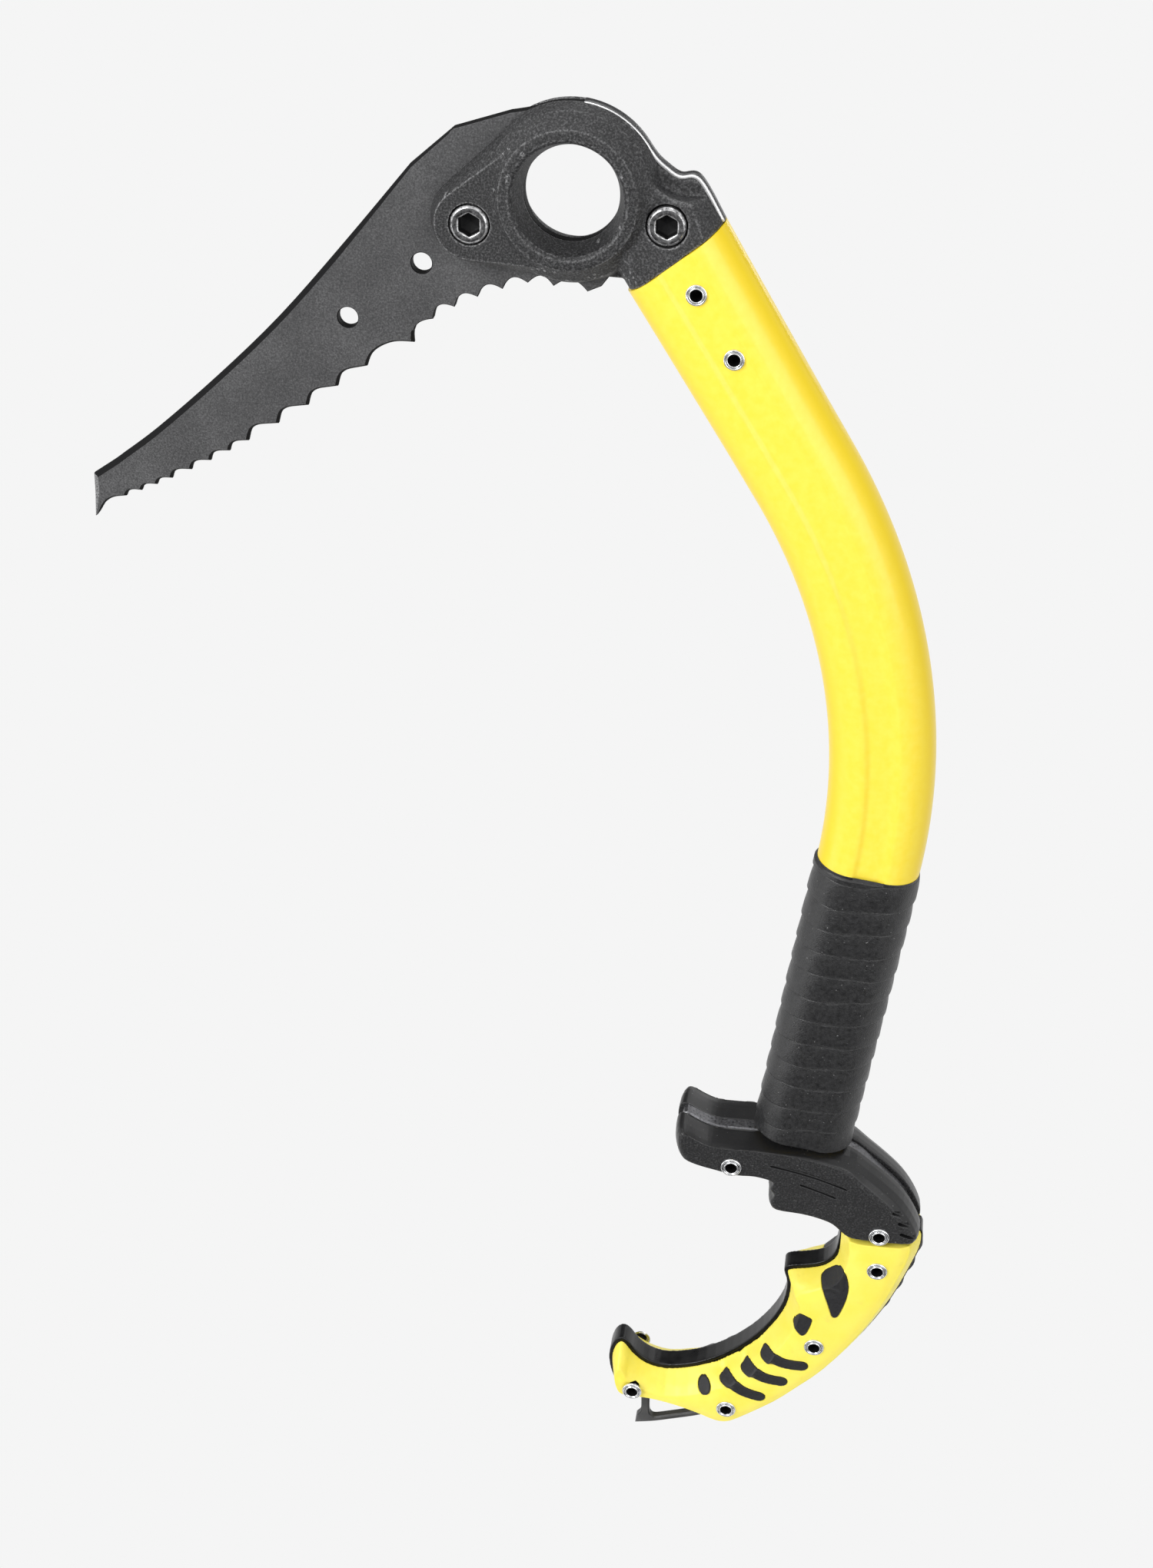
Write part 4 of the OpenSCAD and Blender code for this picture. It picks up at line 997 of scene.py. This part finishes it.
def crown_of(points):
    """Function that rounds the ridge between the grip's face and its sloping sides, and slides the slots'
    upper ends down along the slope. The heights come from a shell's own points, its pockets bridged."""
    low = (points.min(axis=0) - GRID_MARGIN)[[0, 2]]
    size = ((points.max(axis=0)[[0, 2]] + GRID_MARGIN - low) / GRIP_CELL).astype(int)
    height = np.zeros(size)
    cells = ((points[:, [0, 2]] - low) / GRIP_CELL).astype(int)
    np.maximum.at(height, (cells[:, 0], cells[:, 1]), np.abs(points[:, 1]))
    bridged = spread(spread(height, BRIDGE, np.maximum), BRIDGE, np.minimum)
    solid = (bridged > SHELL_LEAST).astype(float)
    soft = blurred(bridged, RIDGE_BLUR) / np.maximum(blurred(solid, RIDGE_BLUR), SHARE_LEAST)
    sink = blurred(np.clip(soft - bridged, -RIDGE_SINK, 0.0) * solid, FACE_BLUR)
    face = blurred(bridged, FACE_BLUR) / np.maximum(blurred(solid, FACE_BLUR), SHARE_LEAST) + sink
    inside = np.clip((blurred(solid, RIM_BLUR) - RIM_START) / RIM_SPAN, 0.0, 1.0)

    def shape(these):
        """Points of a shell or its pads, moved onto the crown."""
        flat = these[:, [0, 2]]
        at = (flat - low) / GRIP_CELL
        high = np.abs(these[:, 1])
        tall = np.maximum(sampled(bridged, at), POCKET_FLOOR + FLOOR_STEP)
        top = np.clip((high - POCKET_FLOOR) / (tall - POCKET_FLOOR), 0.0, 1.0)
        slide = np.zeros(len(these))
        for end in SLOT_ENDS:
            near = np.clip(1 - np.linalg.norm(flat - np.array(end), axis=1) / SLIDE_REACH, 0.0, 1.0)
            slide += SLOT_SLIDE * near * near * (3 - 2 * near)
        slide *= np.clip((high - SEAM_REACH) / FADE_IN, 0.0, 1.0) * sampled(inside, at)
        moved_at = at - np.stack([0 * slide, slide / GRIP_CELL], axis=1)
        rise = sampled(sink, at) * top + sampled(face, moved_at) - sampled(face, at)
        moved = these.copy()
        moved[:, 1] += np.sign(these[:, 1]) * rise
        moved[:, 2] -= slide
        return moved

    return shape


crowns = []


def crowned(points):
    """Points of a shell or its pads, with the crown worked out from the first shell."""
    if not crowns:
        crowns.append(crown_of(points))
    return crowns[0](points)


def raised(points):
    """Points of the pads, swollen out of their pockets as soft rubber is."""
    swell = PAD_RAISE * np.clip((np.abs(points[:, 1]) - POCKET_FLOOR) / FADE_IN, 0.0, 1.0)
    swollen = crowned(points)
    swollen[:, 1] += np.sign(points[:, 1]) * swell
    return swollen


# The pieces, from the head down

PLATE_EDGE = (0.5, 0.5)

eased("head", "forged_head", FORGED, voxel=0.3, rounds=3, keep=0.6, soft_spot=NECK)
make_band()
plate_of("pick", "toothed_pick", BLASTED, pick_edge, sharp_beak,
         (pick_finish, (DARK_CUT, GROUND)))
make_bolt("front_pick_bolt", "front_bolt")
make_bolt("rear_pick_bolt", "rear_bolt")
make_shaft()
make_tape()
for rivet in ("upper_head_rivet", "lower_head_rivet", "guard_front_rivet", "guard_rear_rivet",
              "grip_top_rivet", "grip_palm_rivet", "pommel_rear_rivet", "pommel_front_rivet"):
    make_rivet(rivet)
for side in ("near", "far"):
    eased(side + "_guard", side + "_guard_shell", PEBBLED, voxel=0.27, rounds=2, keep=0.6)
    eased(side + "_grip", side + "_grip_shell", YELLOW, voxel=0.32, rounds=5, keep=0.5,
          shape=crowned)
    eased(side + "_grip_pads", side + "_grip_inlays", PAD, voxel=0.22, rounds=4, keep=0.6,
          shape=raised)
eased("grip_core", "grip_core_strip", SMOOTH, voxel=0.35, rounds=5, keep=0.6)
plate_of("handle_plate", "handle_spine", SHEARED, PLATE_EDGE)
plate_of("spike", "pommel_spike", COATED, PLATE_EDGE)
for hidden, finish in (("front_pick_nut", OXIDE), ("rear_pick_nut", OXIDE), ("tang_plug", SMOOTH),
                       ("upper_tang_pin", PLATED), ("lower_tang_pin", PLATED)):
    nodes[hidden].data.materials.clear()
    nodes[hidden].data.materials.append(finish)


# Camera at the photograph's viewing angle

CAMERA_AT_M = (0.0940, -0.6473, 0.1840)
CAMERA_TURN = math.radians(8.17)
CAMERA_DROP = math.radians(30.0)
LENS = 53.47
SENSOR = 36.0
CLIP_START_M = 0.01

camera_data = bpy.data.cameras.new("camera")
camera_data.sensor_fit = "AUTO"
camera_data.sensor_width = SENSOR
camera_data.lens = LENS
camera_data.clip_start = CLIP_START_M
camera = bpy.data.objects.new("camera", camera_data)
camera.location = CAMERA_AT_M
camera.rotation_euler = (math.pi / 2 - CAMERA_DROP, 0.0, CAMERA_TURN)
scene = bpy.context.scene
scene.collection.objects.link(camera)
scene.camera = camera


# Floor, world, cards and lamps

PAPER = "#f5f5f5"
PAPER_BOUNCE = "#e9e9e9"
FLOOR_AT_M = (0.0, 0.0, -0.8)
FLOOR_SIZE_M = 12.0
WORLD_LIGHT = "#ffffff"
WORLD_STRENGTH = 0.42
TOOL_MIDDLE_M = Vector((0.04, 0.0, -0.2))
# Cards: place, width and height, and tilt
CARDS = (("card_below", (0.05, -1.35, -0.76), (2.6, 2.0), 0.0),
         ("card_behind", (0.05, 1.1, 0.65), (2.6, 1.2), math.pi / 2))
# Lamps: place, size and watts
LAMPS = (("key", (-0.8, -1.0, 0.6), 0.8, 17), ("fill", (0.9, -0.9, 0.1), 0.9, 6),
         ("low", (-1.0, -0.55, -0.72), 0.6, 3), ("back", (0.5, 1.2, 0.3), 0.7, 5),
         ("top", (0.1, 0.2, 1.1), 0.6, 4))


def seen_directly(material):
    """1 for rays from the camera, from a mirror or through glass, and 0 for the rest."""
    seen = add(material, "LightPath", "Is Camera Ray", {})
    for way in ("Is Glossy Ray", "Is Transmission Ray"):
        ray = add(material, "LightPath", way, {})
        seen = add(material, "Math", "Value", {0: seen, 1: ray}, operation="MAXIMUM")
    return seen


def paper_floor():
    """Pale paper that shows as one even tone and still takes the shadow in the light that it gives back."""
    m = bpy.data.materials.new("paper_floor")
    m.use_nodes = True
    m.node_tree.nodes.clear()
    plain = add(m, "Emission", "Emission", {"Color": PAPER, "Strength": 1.0})
    bounce = add(m, "BsdfDiffuse", "BSDF", {"Color": PAPER_BOUNCE})
    shown = add(m, "MixShader", 0, {0: seen_directly(m), 1: bounce, 2: plain})
    add(m, "OutputMaterial", None, {"Surface": shown})
    return m


def make_world():
    """World that shows as paper and gives a soft light from all round."""
    world = bpy.data.worlds.new("studio")
    scene.world = world
    world.use_nodes = True
    world.node_tree.nodes.clear()
    paper = add(world, "Background", "Background", {"Color": PAPER, "Strength": 1.0})
    soft = add(world, "Background", "Background", {"Color": WORLD_LIGHT, "Strength": WORLD_STRENGTH})
    shown = add(world, "MixShader", 0, {0: seen_directly(world), 1: soft, 2: paper})
    add(world, "OutputWorld", None, {"Surface": shown})


def make_card(name, at_m, size_m, tilt):
    """Dark card that only gloss and mirrors see, as a studio sets up to give metal its contrast."""
    bpy.ops.mesh.primitive_plane_add(size=1.0, location=at_m, rotation=(tilt, 0.0, 0.0))
    board = bpy.context.object
    board.name = name
    board.scale = (*size_m, 1.0)
    board.data.materials.append(CARD)
    board.visible_camera = False
    board.visible_diffuse = False
    board.visible_transmission = False
    board.visible_shadow = False


def make_lamp(name, at_m, size_m, watts):
    """Square lamp aimed at the middle of the tool."""
    data = bpy.data.lights.new(name, "AREA")
    data.shape = "SQUARE"
    data.size = size_m
    data.energy = watts
    obj = bpy.data.objects.new(name, data)
    obj.location = at_m
    obj.rotation_euler = (TOOL_MIDDLE_M - Vector(at_m)).to_track_quat("-Z", "Y").to_euler()
    scene.collection.objects.link(obj)


# Black card: matt, so that it mirrors nothing itself
CARD = grained("black_card", 4.0, 2.0, 0.5, [(0.3, "#060606"), (0.7, "#0a0a0a")], (1.0, 1.0),
               looks={"Specular IOR Level": 0.0})
bpy.ops.mesh.primitive_plane_add(size=FLOOR_SIZE_M, location=FLOOR_AT_M)
floor = bpy.context.object
floor.name = "floor"
floor.data.materials.append(paper_floor())
for one_card in CARDS:
    make_card(*one_card)
make_world()
for one_lamp in LAMPS:
    make_lamp(*one_lamp)

scene.view_settings.view_transform = "Standard"
